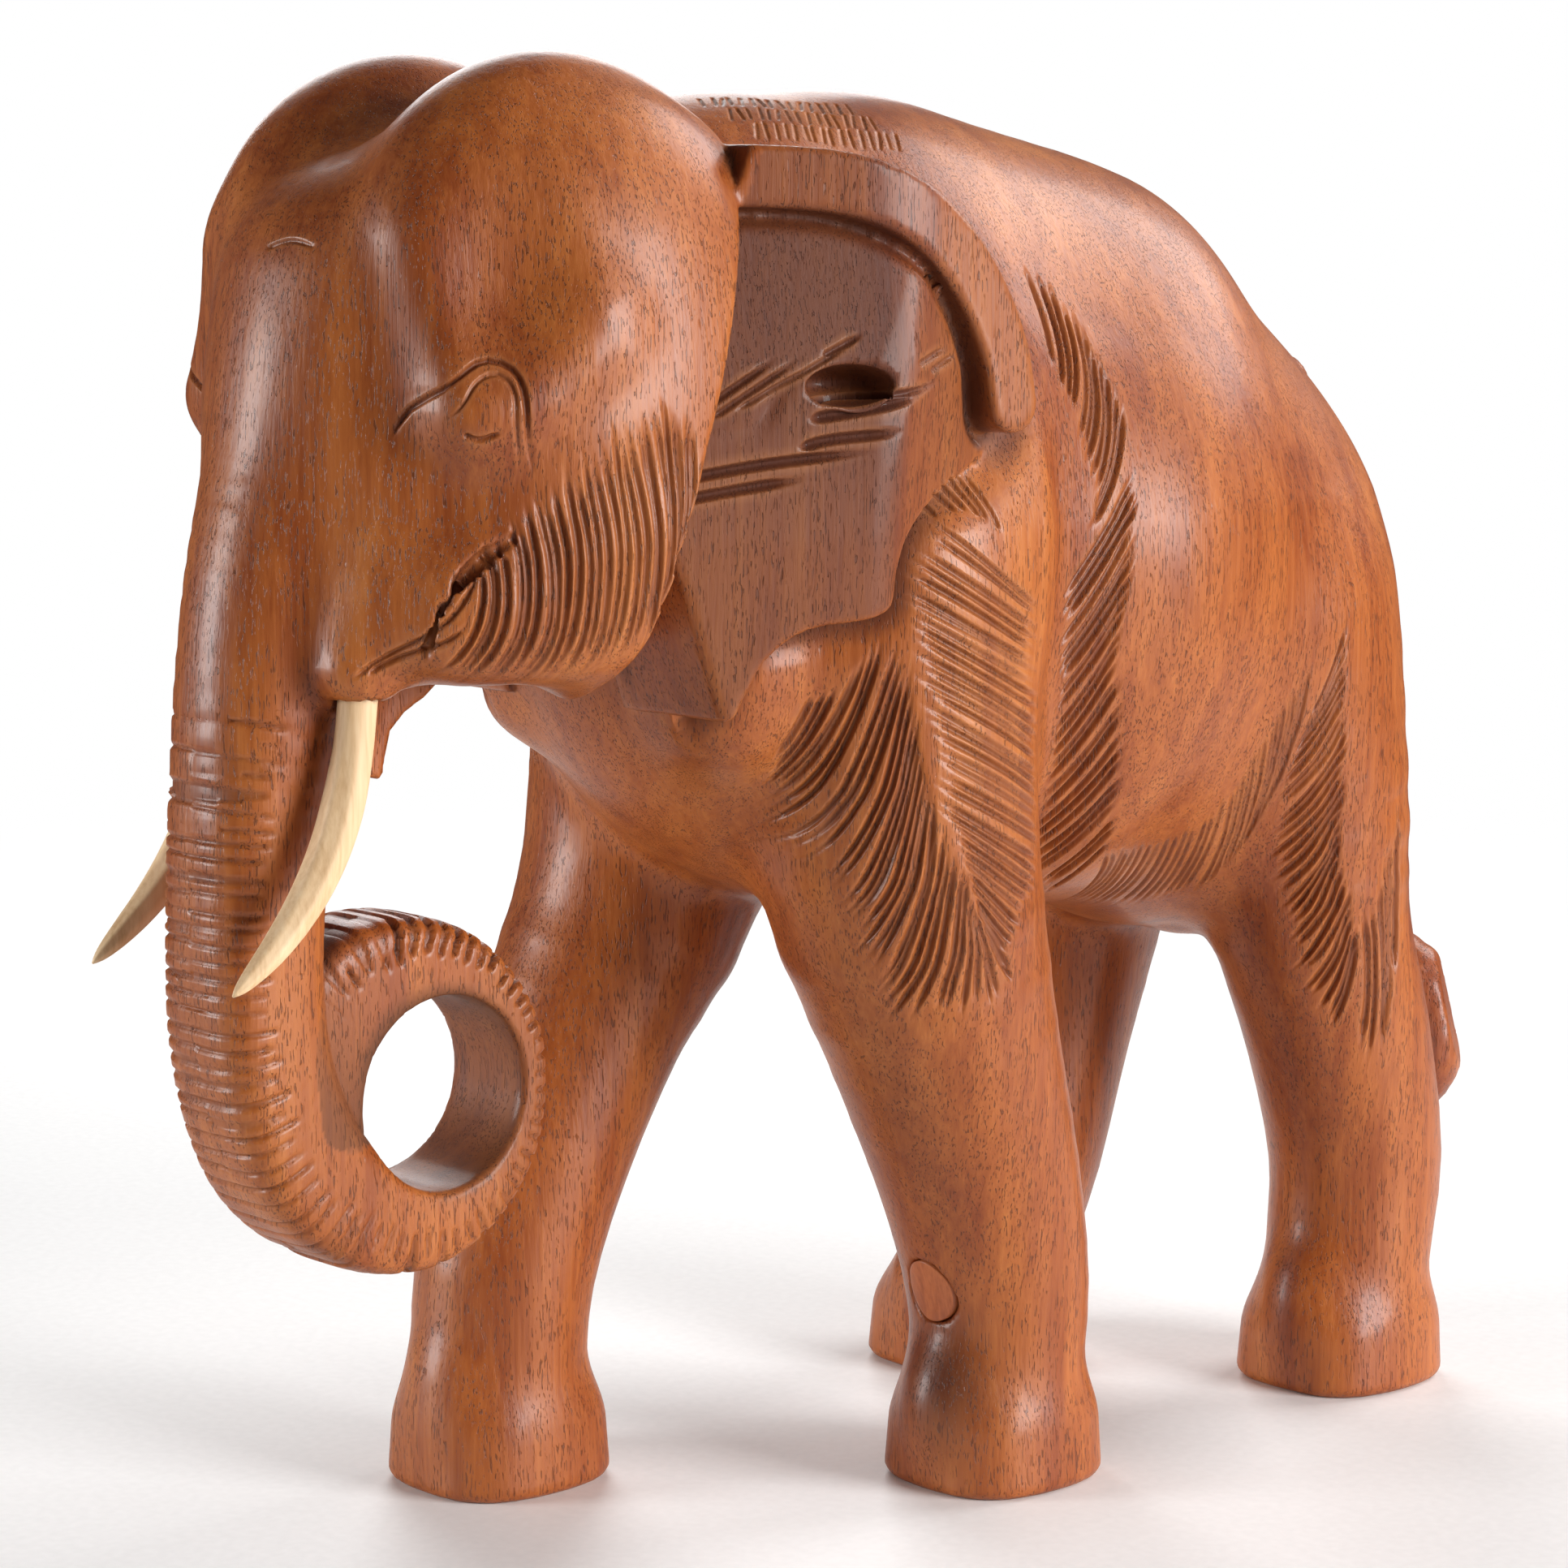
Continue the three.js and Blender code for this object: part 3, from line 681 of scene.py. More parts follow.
# Hatches on each side, as (y, z) seen from the side: how many strokes, how much they bow,
# their width and depth, then a curve through their starts and one through their ends.
HATCHES = [
    # cheek: from the eye's height down to the jaw
    (26, 0.06, 0.95, 0.9,
     [(-149, 204.5), (-146.5, 209), (-142, 213.5), (-136.5, 220), (-130.5, 224.5),
      (-124.5, 229.5), (-116.5, 234), (-111, 231), (-107, 228)],
     [(-155, 184.5), (-151, 183), (-145.5, 182), (-138, 181.5), (-130.5, 182), (-123, 183),
      (-116.5, 187), (-113, 192), (-111, 199)]),
    # shoulder: a herringbone on a spine, which runs down from the ear's corner
    (33, -0.02, 1.0, 0.95,
     [(-46, 208.5), (-52.5, 199.5), (-53, 193), (-51.5, 185), (-49.5, 174), (-47.5, 164),
      (-46, 153), (-42.5, 144), (-36.5, 130.5), (-33.5, 123.5)],
     [(-20.5, 191), (-18.5, 180), (-16.5, 169), (-15, 160), (-14, 148), (-14.5, 138),
      (-18, 131), (-24, 124), (-27, 118), (-24.5, 112)]),
    (30, 0.02, 1.0, 0.95,
     [(-69, 174), (-65.5, 174), (-60.5, 179), (-56, 186), (-53, 184), (-51, 174),
      (-49.5, 166.5), (-48, 156.5), (-46.5, 150), (-45, 146.5), (-42, 141), (-39, 135),
      (-35, 124.5)],
     [(-71, 161.5), (-68.5, 154), (-66, 147.5), (-63.5, 141.5), (-61.5, 136), (-57, 126),
      (-53.5, 118), (-48.5, 106.5), (-45.5, 105), (-42.5, 106), (-39, 106.5), (-35, 108),
      (-27.5, 110)]),
    # flank: long cuts behind the ear, a slanting band down to the belly, and its foot
    (11, 0.07, 0.95, 1.1,
     [(-7.5, 257), (1, 252), (6.5, 242.5), (8.5, 236), (12, 228.5)],
     [(-7.5, 238), (-3.5, 224.5), (-0.5, 213.5), (0, 208.5), (-3, 201.5)]),
    (25, 0.02, 1.05, 1.1,
     [(12.5, 217.5), (10, 203), (9, 187.5), (9, 173.5), (15.5, 156.5), (20.5, 142.5),
      (25, 133.5)],
     [(-9, 191.5), (-7.5, 177), (-5, 163), (-1, 149), (6, 133), (11, 127), (24, 121)]),
    (30, 0.02, 0.75, 0.55,
     [(24, 132), (34, 132.5), (44, 134), (50, 137), (54, 141.5), (56.5, 147), (58, 154.5),
      (60.5, 160.5), (65, 168), (69, 174)],
     [(39, 116), (48, 114), (54, 114), (58.5, 114.5), (62, 115), (64.5, 117.5), (65, 122),
      (65, 128), (65.5, 133.5), (65, 140.5)]),
    # hind leg: barbs down the front of the thigh, then a fan
    (27, 0.03, 1.0, 0.95,
     [(78, 179), (79, 171), (79.5, 163), (81, 154), (82, 143.5), (82.5, 134), (83, 127),
      (86, 121), (87.5, 115.5), (89, 109), (90, 104.5)],
     [(70, 158.5), (67, 147), (67, 141.5), (68, 136), (70, 129), (71.5, 123), (76.5, 111),
      (79, 103), (82, 95.5), (85.5, 89.5), (89.5, 85)]),
    (9, 0.03, 1.0, 0.95,
     [(89, 113), (90.5, 115), (93.5, 117.5), (94.5, 123), (97.5, 130.5), (100.5, 137.5)],
     [(92.5, 81.5), (97.5, 78.5), (99.5, 82.5), (99.5, 88), (100.5, 94.5), (101.5, 99.5)]),
    # whittling marks below the ear's corner
    (6, 0.0, 0.8, 0.6,
     [(-49, 214), (-42, 217), (-34, 217)],
     [(-45, 208), (-38, 209), (-30, 204)]),
]
# Cuts made one by one on each side: points (y, z), width and depth.
SIDE_CUTS = [
    # ear: above and below the opening
    ([(-100, 230), (-84.5, 240.5)], 1.0, 1.1),
    ([(-96.5, 229.5), (-80, 240.5)], 0.9, 0.9),
    ([(-92, 231), (-68, 244)], 0.8, 0.7),
    ([(-75, 241), (-67, 245)], 1.0, 0.9),
    ([(-55.5, 239), (-46, 242)], 0.9, 0.7),
    ([(-51.5, 237.5), (-43, 240.5)], 0.9, 0.7),
    ([(-76, 232), (-57.5, 233.5), (-49, 235.5)], 1.2, 1.5),
    ([(-78, 229), (-68, 230.5), (-54.5, 233)], 1.4, 1.9),
    ([(-80, 223.5), (-73.5, 225), (-60, 226)], 1.3, 1.6),
    ([(-105, 217.5), (-86.5, 220.5), (-66, 222.5)], 1.3, 1.7),
    ([(-102.5, 214), (-90, 216), (-79, 217.5)], 1.3, 1.6),
    # eye: the arch of the lid, its inner line, and the lower lid
    ([(-157.5, 227.5), (-154, 236.5), (-148.5, 241.5), (-144.5, 241.5), (-142.5, 238.5),
      (-142, 231.5), (-140.5, 225), (-138.5, 220)], 0.8, 0.9),
    ([(-154, 231), (-150, 237.5), (-146, 239.5), (-144, 237), (-143.8, 230), (-141, 221)],
     0.6, 0.5),
    ([(-152, 228.5), (-149.5, 227.5), (-146, 229)], 0.8, 0.9),
    # lip
    ([(-166, 183), (-158.5, 189.5), (-152.5, 197), (-147, 206)], 0.8, 0.8),
    ([(-163.5, 184), (-155.5, 189.5), (-151, 194)], 0.8, 0.9),
]
# Cuts made once, as (x, z) seen from the front.
FRONT_CUTS = [
    # forehead
    ([(2, 262), (8, 263.5), (15, 262)], 0.7, 0.6),
    # drying cracks down the right fore foot
    ([(-47, 58), (-48, 40), (-47.5, 24)], 0.7, 0.7),
    ([(-45, 30), (-46, 16), (-45, 5)], 0.8, 0.8),
    ([(-49, 20), (-49.5, 10)], 0.6, 0.6),
]


def side_strokes(rng):
    """Every stroke on the elephant's left side."""
    strokes = single_cuts(SIDE_CUTS)
    for numbers in HATCHES:
        strokes += hatch(rng, *numbers)
    # nape: fine rows across the neck beside the ear's top, drawn as (x, y) from above
    for row in range(3):
        starts = [(8 + 6 * row, -64 + 2 * row), (15 + 5 * row, -28 + 2 * row)]
        ends = [(13 + 6 * row, -67 + 2 * row), (20 + 5 * row, -31 + 2 * row)]
        strokes += hatch(rng, 16, 0.0, 0.55, 0.3, starts, ends, "top")
    return strokes


def all_strokes():
    rng = np.random.default_rng(SEED)
    strokes = side_strokes(rng)
    mirrored = side_strokes(rng)
    for stroke in mirrored:
        stroke.path = stroke.path * (-1.0, 1.0, 1.0)
        stroke.side = -1.0
    strokes += mirrored + single_cuts(FRONT_CUTS, "front")
    drop(strokes)
    return [stroke for stroke in strokes if len(stroke.path) > 3]


def cell_index(points, cell):
    """Which box of the given size each point is in; two spare boxes lie all round."""
    return np.floor((points - LOW) / cell).astype(int).T + 2


def marked_cells(strokes, cell):
    """Boxes of the given size that a stroke passes through or near."""
    marks = np.zeros(np.ceil((HIGH - LOW) / cell).astype(int) + 4, dtype=bool)
    for stroke in strokes:
        path = along_curve(stroke.path, np.linspace(0, 1, 4 * len(stroke.path)))
        marks[tuple(cell_index(path, cell))] = True
    for axis in range(3):
        marks |= np.roll(marks, 1, axis) | np.roll(marks, -1, axis)
    return marks


def in_cells(points, marks, cell):
    last = np.array(marks.shape)[:, None] - 1
    return marks[tuple(np.clip(cell_index(points, cell), 0, last))]


def stroke_depths(points, strokes):
    """How deep each vertex is cut, and how near it is to a cut."""
    cut = np.zeros(len(points))
    beside = np.zeros(len(points))
    order = np.argsort(points[:, 1], kind="stable")
    ordered = points[order]
    for stroke in strokes:
        margin = stroke.width * 2.6
        low, high = stroke.path.min(0) - margin, stroke.path.max(0) + margin
        start, end = np.searchsorted(ordered[:, 1], (low[1], high[1]))
        block = ordered[start:end]
        keep = ((block > low) & (block < high)).all(1)
        if not keep.any():
            continue
        index = order[start:end][keep]
        p = points[index]
        nearest = np.full(len(p), 1e9)
        place = np.zeros(len(p))
        last = len(stroke.path) - 1
        for i, (a, b) in enumerate(zip(stroke.path[:-1], stroke.path[1:])):
            axis = b - a
            t = np.clip(((p - a) @ axis) / max(axis @ axis, 1e-9), 0.0, 1.0)
            away = np.linalg.norm(p - a - t[:, None] * axis, axis=1)
            closer = away < nearest
            nearest = np.where(closer, away, nearest)
            place = np.where(closer, (i + t) / last, place)
        if stroke.blunt:
            taper = smooth_step(place, -0.02, 0.10) * (1.0 - smooth_step(place, 0.65, 1.04))
        else:
            taper = smooth_step(place, -0.02, 0.22) * (1.0 - smooth_step(place, 0.80, 1.02))
        half = stroke.width * (0.45 + 0.55 * taper)
        depth = stroke.depth * taper * np.clip(1.3 - 1.3 * nearest / half, 0.0, 1.0)
        cut[index] = np.maximum(cut[index], depth)
        near = taper * np.clip(1.0 - nearest / (half * 2.4), 0.0, 1.0)
        beside[index] = np.maximum(beside[index], near)
    return cut, beside


def ring_depths(points, rng):
    """The rings cut across the outside of the trunk, a set for each side of its middle."""
    distance, along, outward = trunk_survey(columns(points))
    depth = np.zeros(len(points))
    end = along.max()
    for side in (points[:, 0] >= 0.0, points[:, 0] < 0.0):
        middles = np.arange(RINGS_FROM, end, RING_PITCH)
        count = len(middles)
        middles = middles + rng.uniform(-0.35, 0.35, count)
        place = along[side]
        after = np.clip(np.searchsorted(middles, place), 1, count - 1)
        ring = np.where(place - middles[after - 1] < middles[after] - place, after - 1, after)
        slant = rng.uniform(-0.03, 0.03, count)[ring] * np.abs(points[side, 0])
        away = np.abs(place - middles[ring] + slant)
        half = rng.uniform(0.60, 0.85, count)[ring]
        deep = rng.uniform(0.6, 0.95, count)[ring]
        # further down, the rings reach further round; the curl's are deeper, its tip has none
        downward = smooth_step(place, 120.0, 190.0)
        inner = 0.30 - 0.30 * downward + 0.10 * smooth_step(place, 225.0, 260.0)
        inner = inner + rng.uniform(-0.12, 0.12, count)[ring]
        mask = smooth_step(outward[side], inner, inner + 0.22)
        mask = mask * (distance[side] < 1.2) * (place > RINGS_FROM - 1.0)
        mask = mask * (1.0 - smooth_step(place, end - 30.0, end - 18.0))
        deep = deep * (1.0 + 0.9 * smooth_step(place, 240.0, 270.0))
        depth[side] = deep * np.clip(1.0 - away / half, 0.0, 1.0) * mask
    return depth, along, outward


SHARP_TURN = 22.0              # degrees along an edge, past which the mesh is refined
STROKE_CELLS = (2.0, 1.1)      # boxes that choose the faces to refine, round by round, mm
HOLLOW_REACH = 7.0             # how far out a point looks for other wood, mm
HOLLOW_BELOW = 0.75            # it is in a hollow when the wood is nearer than this share
FULL_CUT = 1.7                 # a cut this deep gets the full painted shade, mm


def carve_body():
    points, quads = skin(sampled_block())
    points = settle(points, 2)
    figure = make_mesh("carved_elephant", points, quads)
    mesh = figure.data
    sharp = sharp_vertices(mesh, gradient(points), SHARP_TURN)
    strokes = all_strokes()
    for level, cell in enumerate(STROKE_CELLS):
        points = mesh_points(mesh)
        chosen = in_cells(points, marked_cells(strokes, cell), cell)
        distance, along, outward = trunk_survey(columns(points))
        chosen |= (along > RINGS_FROM - 3.0) & (outward > -0.25) & (np.abs(distance) < 1.0)
        if level == 0:
            chosen |= sharp
        refine(mesh, face_touches(mesh, chosen))
        set_points(mesh, settle(mesh_points(mesh), 1, 0.6))
    _, beside = stroke_depths(mesh_points(mesh), strokes)
    refine(mesh, face_touches(mesh, beside > 0.55))
    set_points(mesh, settle(mesh_points(mesh), 1, 0.3))
    points = mesh_points(mesh)
    directions = gradient(points, 0.4)
    # painted shade: the hollow mask darkens creases and recesses, where other wood lies near
    open_share = body(columns(points + directions * HOLLOW_REACH)) / HOLLOW_REACH
    hollow = np.clip((HOLLOW_BELOW - open_share) / HOLLOW_BELOW, 0.0, 1.0)
    cut, beside = stroke_depths(points, strokes)
    rings, along, outward = ring_depths(points, np.random.default_rng(SEED + 1))
    depth = np.maximum(cut, rings)
    on_trunk = np.abs(trunk(columns(points))) < 0.8
    dust = smooth_step(along, 190.0, 235.0) * smooth_step(-outward, 0.2, 0.8) * on_trunk
    dust = np.maximum(dust, smooth_step(along, 290.0, 330.0) * on_trunk * 0.7)
    set_points(mesh, to_world(points - directions * depth[:, None]))
    for name, values in (
        # painted shade in recesses and inside the ear, half as much on its rim
        ("hollow", np.maximum(hollow, ear_shade(points))),
        # the cut depth, which also paints shade down in the cuts
        ("cut", np.clip(depth / FULL_CUT, 0.0, 1.0)),
        # painted highlight on the ridges beside the cuts
        ("ridge_highlight", np.clip(beside * 1.4 - depth * 1.5, 0.0, 1.0)),
        ("dust", dust),
        ("stain", toe_stain(points)),
    ):
        attribute = mesh.attributes.new(name, "FLOAT", "POINT")
        attribute.data.foreach_set("value", np.asarray(values, dtype=np.float32))
    mesh.shade_smooth()
    return figure


def ear_shade(points):
    """Painted shade inside the ear: strongest high up, less on the rear facet, half as much on the
    rim itself.
    """
    x, y, z = columns(points)
    inside = smooth_step(-ear_edge(y, z), -0.5, 1.5)
    from_rim = curve_distance(y, z, spline(EAR_RIM, 3))
    behind = smooth_step(y, -62.0, -57.0)
    high = smooth_step(z, 195.0, 240.0)
    shade = (0.72 + 0.28 * high) * (1.0 - 0.45 * behind)
    shade = shade * (0.50 + 0.50 * smooth_step(from_rim, 4.5, 6.5))
    return shade * inside * (np.abs(x) > 36.0) * (head_edge(y, z) > 0.5)


def toe_stain(points):
    """The dark knot on the toes of the left fore foot."""
    centre_x, centre_y, _, half_y, _ = FEET["left_fore"]
    away = (points - (centre_x + 5.0, centre_y - half_y + 1.0, 23.0)) / (10.0, 10.0, 15.0)
    return np.exp(-(away ** 2).sum(1) * 1.2)


def make_mesh(name, points, faces):
    """A new object in the scene."""
    mesh = bpy.data.meshes.new(name)
    mesh.from_pydata(points.tolist(), [], [tuple(face) for face in faces])
    mesh.update()
    piece = bpy.data.objects.new(name, mesh)
    bpy.context.scene.collection.objects.link(piece)
    return piece


# ---- materials ----

def new_material(name):
    material = bpy.data.materials.new(name)
    material.use_nodes = True
    tree = material.node_tree
    tree.nodes.clear()
    output = tree.nodes.new("ShaderNodeOutputMaterial")
    shader = tree.nodes.new("ShaderNodeBsdfPrincipled")
    tree.links.new(shader.outputs["BSDF"], output.inputs["Surface"])
    return material, tree, shader


class Nodes:
    """Small helpers for wiring a node tree; each gives back the new node's output."""

    def __init__(self, tree):
        self.tree = tree
        self.coordinates = tree.nodes.new("ShaderNodeTexCoord").outputs["Object"]

    def feed(self, socket, value):
        if isinstance(value, bpy.types.NodeSocket):
            self.tree.links.new(value, socket)
        else:
            socket.default_value = value

    def add(self, kind, inputs, output=0, **settings):
        node = self.tree.nodes.new(kind)
        for name, setting in settings.items():
            setattr(node, name, setting)
        for name, value in inputs.items():
            self.feed(node.inputs[name], value)
        return node.outputs[output]

    def math(self, operation, a, b):
        return self.add("ShaderNodeMath", {0: a, 1: b}, operation=operation)

    def total(self, start, *shares):
        """The start plus each value times its weight, and no more than 1."""
        for value, weight in shares:
            start = self.math("ADD", start, self.math("MULTIPLY", value, weight))
        return self.math("MINIMUM", start, 1.0)

    def stretched(self, scale, turn=(0.0, 0.0, 0.0)):
        return self.add("ShaderNodeMapping",
                        {"Vector": self.coordinates, "Scale": scale, "Rotation": turn})

    def noise(self, vector, scale, detail, roughness, distortion=0.0):
        return self.add("ShaderNodeTexNoise",
                        {"Vector": vector, "Scale": scale, "Detail": detail,
                         "Roughness": roughness, "Distortion": distortion}, "Fac")

    def between(self, value, low, high, to_low=0.0, to_high=1.0):
        return self.add("ShaderNodeMapRange",
                        {"Value": value, "From Min": low, "From Max": high,
                         "To Min": to_low, "To Max": to_high},
                        interpolation_type="SMOOTHSTEP")

    def ramp(self, value, stops):
        node = self.tree.nodes.new("ShaderNodeValToRGB")
        elements = node.color_ramp.elements
        while len(elements) < len(stops):
            elements.new(0.5)
        for element, (place, colour) in zip(elements, stops):
            element.position = place
            element.color = (*colour, 1.0)
        self.feed(node.inputs["Fac"], value)
        return node.outputs["Color"]

    def tinted(self, colour, amount, strength, tint):
        """The colour turned towards a tint where the amount is high."""
        factor = self.math("MULTIPLY", amount, strength)
        return self.add("ShaderNodeMix", {"Factor": factor, 6: colour, 7: (*tint, 1.0)}, 2,
                        data_type="RGBA")

    def attribute(self, name):
        return self.add("ShaderNodeAttribute", {}, "Fac", attribute_name=name)

    def bump(self, height, strength, distance, under=None):
        inputs = {"Height": height, "Strength": strength, "Distance": distance}
        if under is not None:
            inputs["Normal"] = under
        return self.add("ShaderNodeBump", inputs)


TEAK = [
    (0.26, (0.125, 0.019, 0.0030)),
    (0.43, (0.255, 0.053, 0.0085)),
    (0.58, (0.390, 0.104, 0.0190)),
    (0.76, (0.540, 0.175, 0.0380)),
]
PORE_COLOUR = (0.070, 0.016, 0.004)
# Painted shade in hollows, inside the ear and in the knife cuts; painted highlight on the ridges
# between.
TEAK_MARKS = [
    ("hollow", 0.80, (0.070, 0.014, 0.004)),
    ("ridge_highlight", 0.30, (0.500, 0.200, 0.070)),
    ("cut", 0.85, (0.070, 0.016, 0.006)),
    ("dust", 0.80, (0.085, 0.036, 0.018)),
    ("stain", 0.90, (0.035, 0.008, 0.006)),
]


def teak():
    """Lacquered teak with the grain running up and down the block."""
    material, tree, shader = new_material("teak")
    n = Nodes(tree)
    # growth layers: slow waves across the block, long along the grain
    layers = n.noise(n.stretched((9.0, 9.0, 1.3), (0.06, 0.10, 0.5)), 3.2, 4.0, 0.55, 1.2)
    bands = n.noise(n.stretched((60.0, 60.0, 4.0), (0.05, 0.08, 0.0)), 2.6, 3.0, 0.6, 0.4)
    fibres = n.noise(n.stretched((900.0, 900.0, 26.0)), 1.0, 3.0, 0.65)
    colour = n.ramp(n.total(-0.04, (layers, 0.55), (bands, 0.30), (fibres, 0.30)), TEAK)
    # pores: short dark dashes along the grain
    dashes = n.noise(n.stretched((2800.0, 2800.0, 360.0)), 1.0, 1.0, 0.4)
    where = n.noise(n.stretched((260.0, 260.0, 60.0)), 1.0, 2.0, 0.5)
    pores = n.math("MULTIPLY", n.between(dashes, 0.60, 0.67), n.between(where, 0.34, 0.52))
    colour = n.tinted(colour, pores, 0.60, PORE_COLOUR)
    marks = {name: n.attribute(name) for name, _, _ in TEAK_MARKS}
    for name, strength, tint in TEAK_MARKS:
        colour = n.tinted(colour, marks[name], strength, tint)
    rough = n.total(0.33, (fibres, 0.18), (marks["cut"], 0.22), (marks["hollow"], 0.22),
                    (marks["dust"], 0.40))
    n.feed(shader.inputs["Base Color"], colour)
    n.feed(shader.inputs["Roughness"], rough)
    shader.inputs["IOR"].default_value = 1.42
    shader.inputs["Coat Weight"].default_value = 0.15
    shader.inputs["Coat Roughness"].default_value = 0.18
    grain = n.bump(fibres, 0.70, 0.00018)
    n.feed(shader.inputs["Normal"], n.bump(pores, 1.0, -0.00022, grain))
    return material


def small_wood(name, turn, broad, fine, fine_share, colours, rough):
    """Wood of a small piece: broad streaks and fine fibres along it."""
    material, tree, shader = new_material(name)
    n = Nodes(tree)
    streaks = n.noise(n.stretched(broad[0], turn), 1.0, 3.0, *broad[1:])
    fibres = n.noise(n.stretched(fine, turn), 1.0, 3.0, 0.6)
    tone = n.total(0.0, (streaks, 1.0 - fine_share), (fibres, fine_share))
    n.feed(shader.inputs["Base Color"], n.ramp(tone, colours))
    n.feed(shader.inputs["Roughness"], n.total(rough[0], (fibres, rough[1])))
    n.feed(shader.inputs["Normal"], n.bump(fibres, 0.3, 0.00010))
    return material


def pale_wood():
    """The tusks: a light close-grained wood, rubbed smooth and left bare."""
    return small_wood("tusk_wood", (0.30, 0.0, 0.0), ((120.0, 120.0, 30.0), 0.5),
                      (1100.0, 1100.0, 60.0), 0.5, [
                          (0.30, (0.680, 0.420, 0.210)),
                          (0.50, (0.840, 0.580, 0.330)),
                          (0.70, (0.920, 0.690, 0.430)),
                      ], (0.50, 0.15))


def patch_wood():
    """A plug of redder teak with its own tighter grain, lacquered with the rest."""
    return small_wood("patch_wood", (0.0, 0.35, 0.0), ((260.0, 260.0, 30.0), 0.6, 0.5),
                      (1500.0, 1500.0, 90.0), 0.4, [
                          (0.32, (0.250, 0.055, 0.0140)),
                          (0.50, (0.420, 0.115, 0.0320)),
                          (0.68, (0.520, 0.160, 0.0500)),
                      ], (0.38, 0.12))


# ---- the other pieces ----

def tusk_centre_line():
    """Down the socket, straight out of it, then sweeping forward to the tip."""
    top = TUSK_ROOT + SOCKET_AXIS * (SOCKET_DEPTH - FIT_GAP)
    knee = TUSK_ROOT - SOCKET_AXIS * TUSK_STRAIGHT_RUN
    sweep = TUSK_TIP + TUSK_TIP_SWEEP
    line = [top.lerp(TUSK_ROOT, i / 12) for i in range(12)]
    for t in (i / 60 for i in range(61)):
        line.append(TUSK_ROOT * (1 - t) ** 3 + knee * 3 * t * (1 - t) ** 2
                    + sweep * 3 * t * t * (1 - t) + TUSK_TIP * t ** 3)
    return np.array(line)


def capped_stack(rings, first, last):
    """A skin over a stack of rings, closed by a point at each end."""
    count, sides, _ = rings.shape
    points = np.vstack([rings.reshape(-1, 3), first, last])
    faces = []
    for i in range(sides):
        j = (i + 1) % sides
        for low in range(0, (count - 1) * sides, sides):
            faces.append((low + i, low + j, low + sides + j, low + sides + i))
        faces.append((len(points) - 2, j, i))
        faces.append((len(points) - 1, (count - 1) * sides + i, (count - 1) * sides + j))
    return points, faces


def circle(sides):
    angles = np.arange(sides) * 2 * math.pi / sides
    return angles, np.cos(angles), np.sin(angles)


def carve_tusk(side, rng):
    """A pale pin, whittled to a blunt point; side is +1 for the left tusk."""
    line = tusk_centre_line()
    steps = np.linalg.norm(np.diff(line, axis=0), axis=1)
    place = np.concatenate([[0.0], np.cumsum(steps)])
    beyond = np.clip((place - (SOCKET_DEPTH - FIT_GAP)) / (place[-1] - SOCKET_DEPTH), 0.0, 1.0)
    narrowing = np.sqrt(np.maximum(1.0 - beyond ** TUSK_TAPER, 0.0))
    radius = TUSK_ROOT_RADIUS * np.maximum(narrowing, 0.05)
    radius = radius * (0.90 + 0.10 * smooth_step(beyond, 0.0, 0.3))
    tangent = np.gradient(line, axis=0)
    tangent /= np.linalg.norm(tangent, axis=1, keepdims=True)
    across = np.cross(tangent, (1.0, 0.0, 0.0))
    across /= np.linalg.norm(across, axis=1, keepdims=True)
    other = np.cross(tangent, across)
    angles, cosines, sines = circle(40)
    phase = 5.0 * beyond[:, None] + rng.uniform(0, 6)
    flats = -TUSK_FLAT_DEPTH * np.cos(angles * TUSK_FLATS + phase)
    size = radius[:, None] * (1.0 + flats * smooth_step(beyond, 0.0, 0.15)[:, None])
    rings = (line[:, None, :] + across[:, None, :] * (cosines * size)[..., None]
             + other[:, None, :] * (sines * size)[..., None])
    points, faces = capped_stack(rings, line[0], line[-1])
    return points * (side, 1.0, 1.0), faces


def ankle_plug():
    """The repair patch: an oval plug whose face follows the ankle."""
    _, cosines, sines = circle(72)
    shares = np.arange(15) / 14
    u = np.outer(shares, cosines) * (PATCH_HALF_WIDTH - FIT_GAP) + PATCH_X
    v = np.outer(shares, sines) * (PATCH_HALF_HEIGHT - FIT_GAP) + PATCH_Z
    face = np.stack([u, np.full(u.shape, PATCH_START_Y), v], 2).reshape(-1, 3)
    for _ in range(60):
        face[:, 1] += block(columns(face)) * 0.7
    rings = face.reshape(15, 72, 3)
    back = rings[-1:].copy()
    back[..., 1] = PATCH_BACK_Y - FIT_GAP
    middle = (PATCH_X, PATCH_BACK_Y - FIT_GAP, PATCH_Z)
    return capped_stack(np.concatenate([rings[1:], back]), rings[0, 0], middle)


def add_piece(name, shape, material, node, body_name):
    points, faces = shape
    piece = make_mesh(name, to_world(points), faces)
    work = bmesh.new()
    work.from_mesh(piece.data)
    bmesh.ops.recalc_face_normals(work, faces=work.faces)
    work.to_mesh(piece.data)
    work.free()
    piece.data.shade_smooth()
    piece.data.materials.append(material)
    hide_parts(node)
    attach(piece, body_name)


# ---- floor, lights and camera ----

FLOOR_RADIUS = 1.6
FLOOR_FADE = (0.28, 1.00)      # metres from the middle: fully there, and gone
WORLD_GLOW = 0.08              # the white background's own light on the figure
LIGHT_TARGET = Vector((0.0, 0.0, 0.15))
LIGHTS = {
    "key": (108, 12, 1.4, 0.7, 25.0),
    "rim": (172, 36, 1.5, 0.8, 13.0),
    "far": (238, 25, 1.5, 0.8, 10.0),
    "side": (-32, 8, 1.4, 0.5, 13.0),
}
CAMERA_AZIMUTH, CAMERA_ELEVATION = 47.49, 8.18
CAMERA_TARGET = (11.6, -43.1, 150.0)
CAMERA_DISTANCE = 0.9121
CAMERA_LENS = 100.94


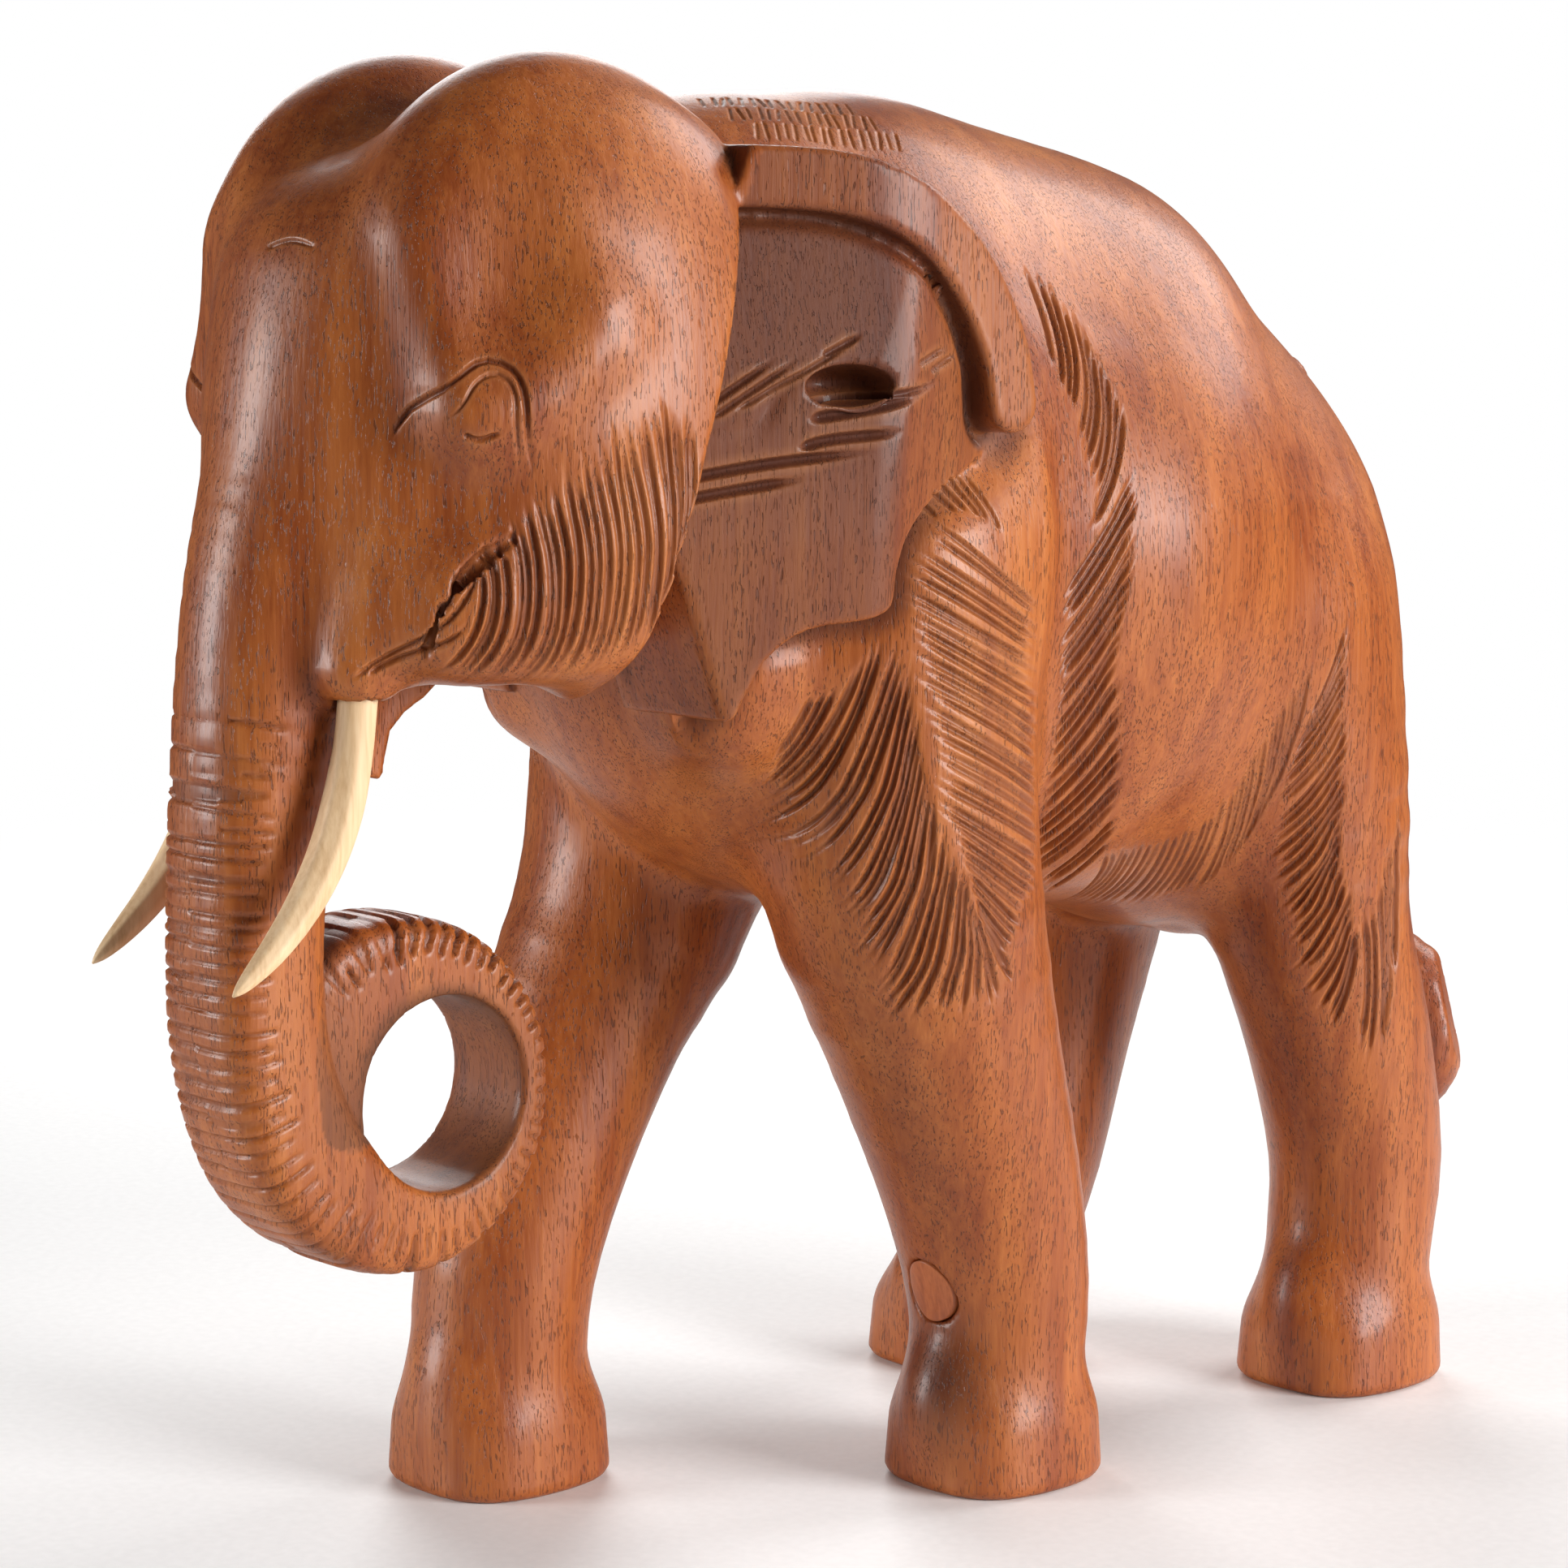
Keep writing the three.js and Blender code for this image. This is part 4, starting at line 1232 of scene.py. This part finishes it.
def add_floor():
    """A disc of white paper that fades out into the white background."""
    bpy.ops.mesh.primitive_circle_add(vertices=96, radius=FLOOR_RADIUS, fill_type="NGON")
    floor = bpy.context.object
    floor.name = "floor"
    material, tree, shader = new_material("floor_paper")
    n = Nodes(tree)
    speckle = n.noise(n.stretched((400.0, 400.0, 400.0)), 1.0, 2.0, 0.5)
    paper = n.ramp(speckle, [(0.3, (0.90, 0.895, 0.89)), (0.7, (0.94, 0.935, 0.93))])
    n.feed(shader.inputs["Base Color"], paper)
    shader.inputs["Roughness"].default_value = 0.55
    away = n.add("ShaderNodeVectorMath", {0: n.coordinates}, "Value", operation="LENGTH")
    n.feed(shader.inputs["Alpha"], n.between(away, *FLOOR_FADE, 1.0, 0.0))
    floor.data.materials.append(material)


def aim(name, data, target, azimuth, elevation, distance):
    """Puts a light or camera at a distance from its target, facing it."""
    a, e = math.radians(azimuth), math.radians(elevation)
    back = Vector((math.sin(a) * math.cos(e), -math.cos(a) * math.cos(e), math.sin(e)))
    thing = bpy.data.objects.new(name, data)
    thing.location = target + back * distance
    thing.rotation_mode = "QUATERNION"
    thing.rotation_quaternion = back.to_track_quat("Z", "Y")
    bpy.context.scene.collection.objects.link(thing)
    return thing


def add_lights():
    for name, (azimuth, elevation, distance, size, power) in LIGHTS.items():
        data = bpy.data.lights.new(name, "AREA")
        data.size = size
        data.energy = power
        aim(name, data, LIGHT_TARGET, azimuth, elevation, distance)


def add_world():
    """White where the camera sees it, and only a faint glow on the figure."""
    world = bpy.data.worlds.new("studio")
    world.use_nodes = True
    tree = world.node_tree
    background = tree.nodes["Background"]
    ray = tree.nodes.new("ShaderNodeLightPath")
    strength = tree.nodes.new("ShaderNodeMapRange")
    strength.inputs["To Min"].default_value = WORLD_GLOW
    tree.links.new(ray.outputs["Is Camera Ray"], strength.inputs["Value"])
    tree.links.new(strength.outputs[0], background.inputs["Strength"])
    background.inputs["Color"].default_value = (1.0, 1.0, 1.0, 1.0)
    bpy.context.scene.world = world


def add_camera():
    data = bpy.data.cameras.new("camera")
    data.sensor_width = 36.0
    data.lens = CAMERA_LENS
    data.clip_start, data.clip_end = 0.05, 20.0
    target = Vector(to_world(CAMERA_TARGET))
    bpy.context.scene.camera = aim("camera", data, target, CAMERA_AZIMUTH, CAMERA_ELEVATION,
                                   CAMERA_DISTANCE)


def main():
    figure = carve_body()
    figure.data.materials.append(teak())
    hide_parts("carved_body")
    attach(figure, "figure")
    rng = np.random.default_rng(SEED + 2)
    pale = pale_wood()
    for name, side in (("tusk_left", 1.0), ("tusk_right", -1.0)):
        add_piece(name + "_pin", carve_tusk(side, rng), pale, name, name)
    add_piece("ankle_plug", ankle_plug(), patch_wood(), "ankle_patch", "figure")
    add_floor()
    add_lights()
    add_world()
    add_camera()
    bpy.context.scene.view_settings.view_transform = "Standard"


main()
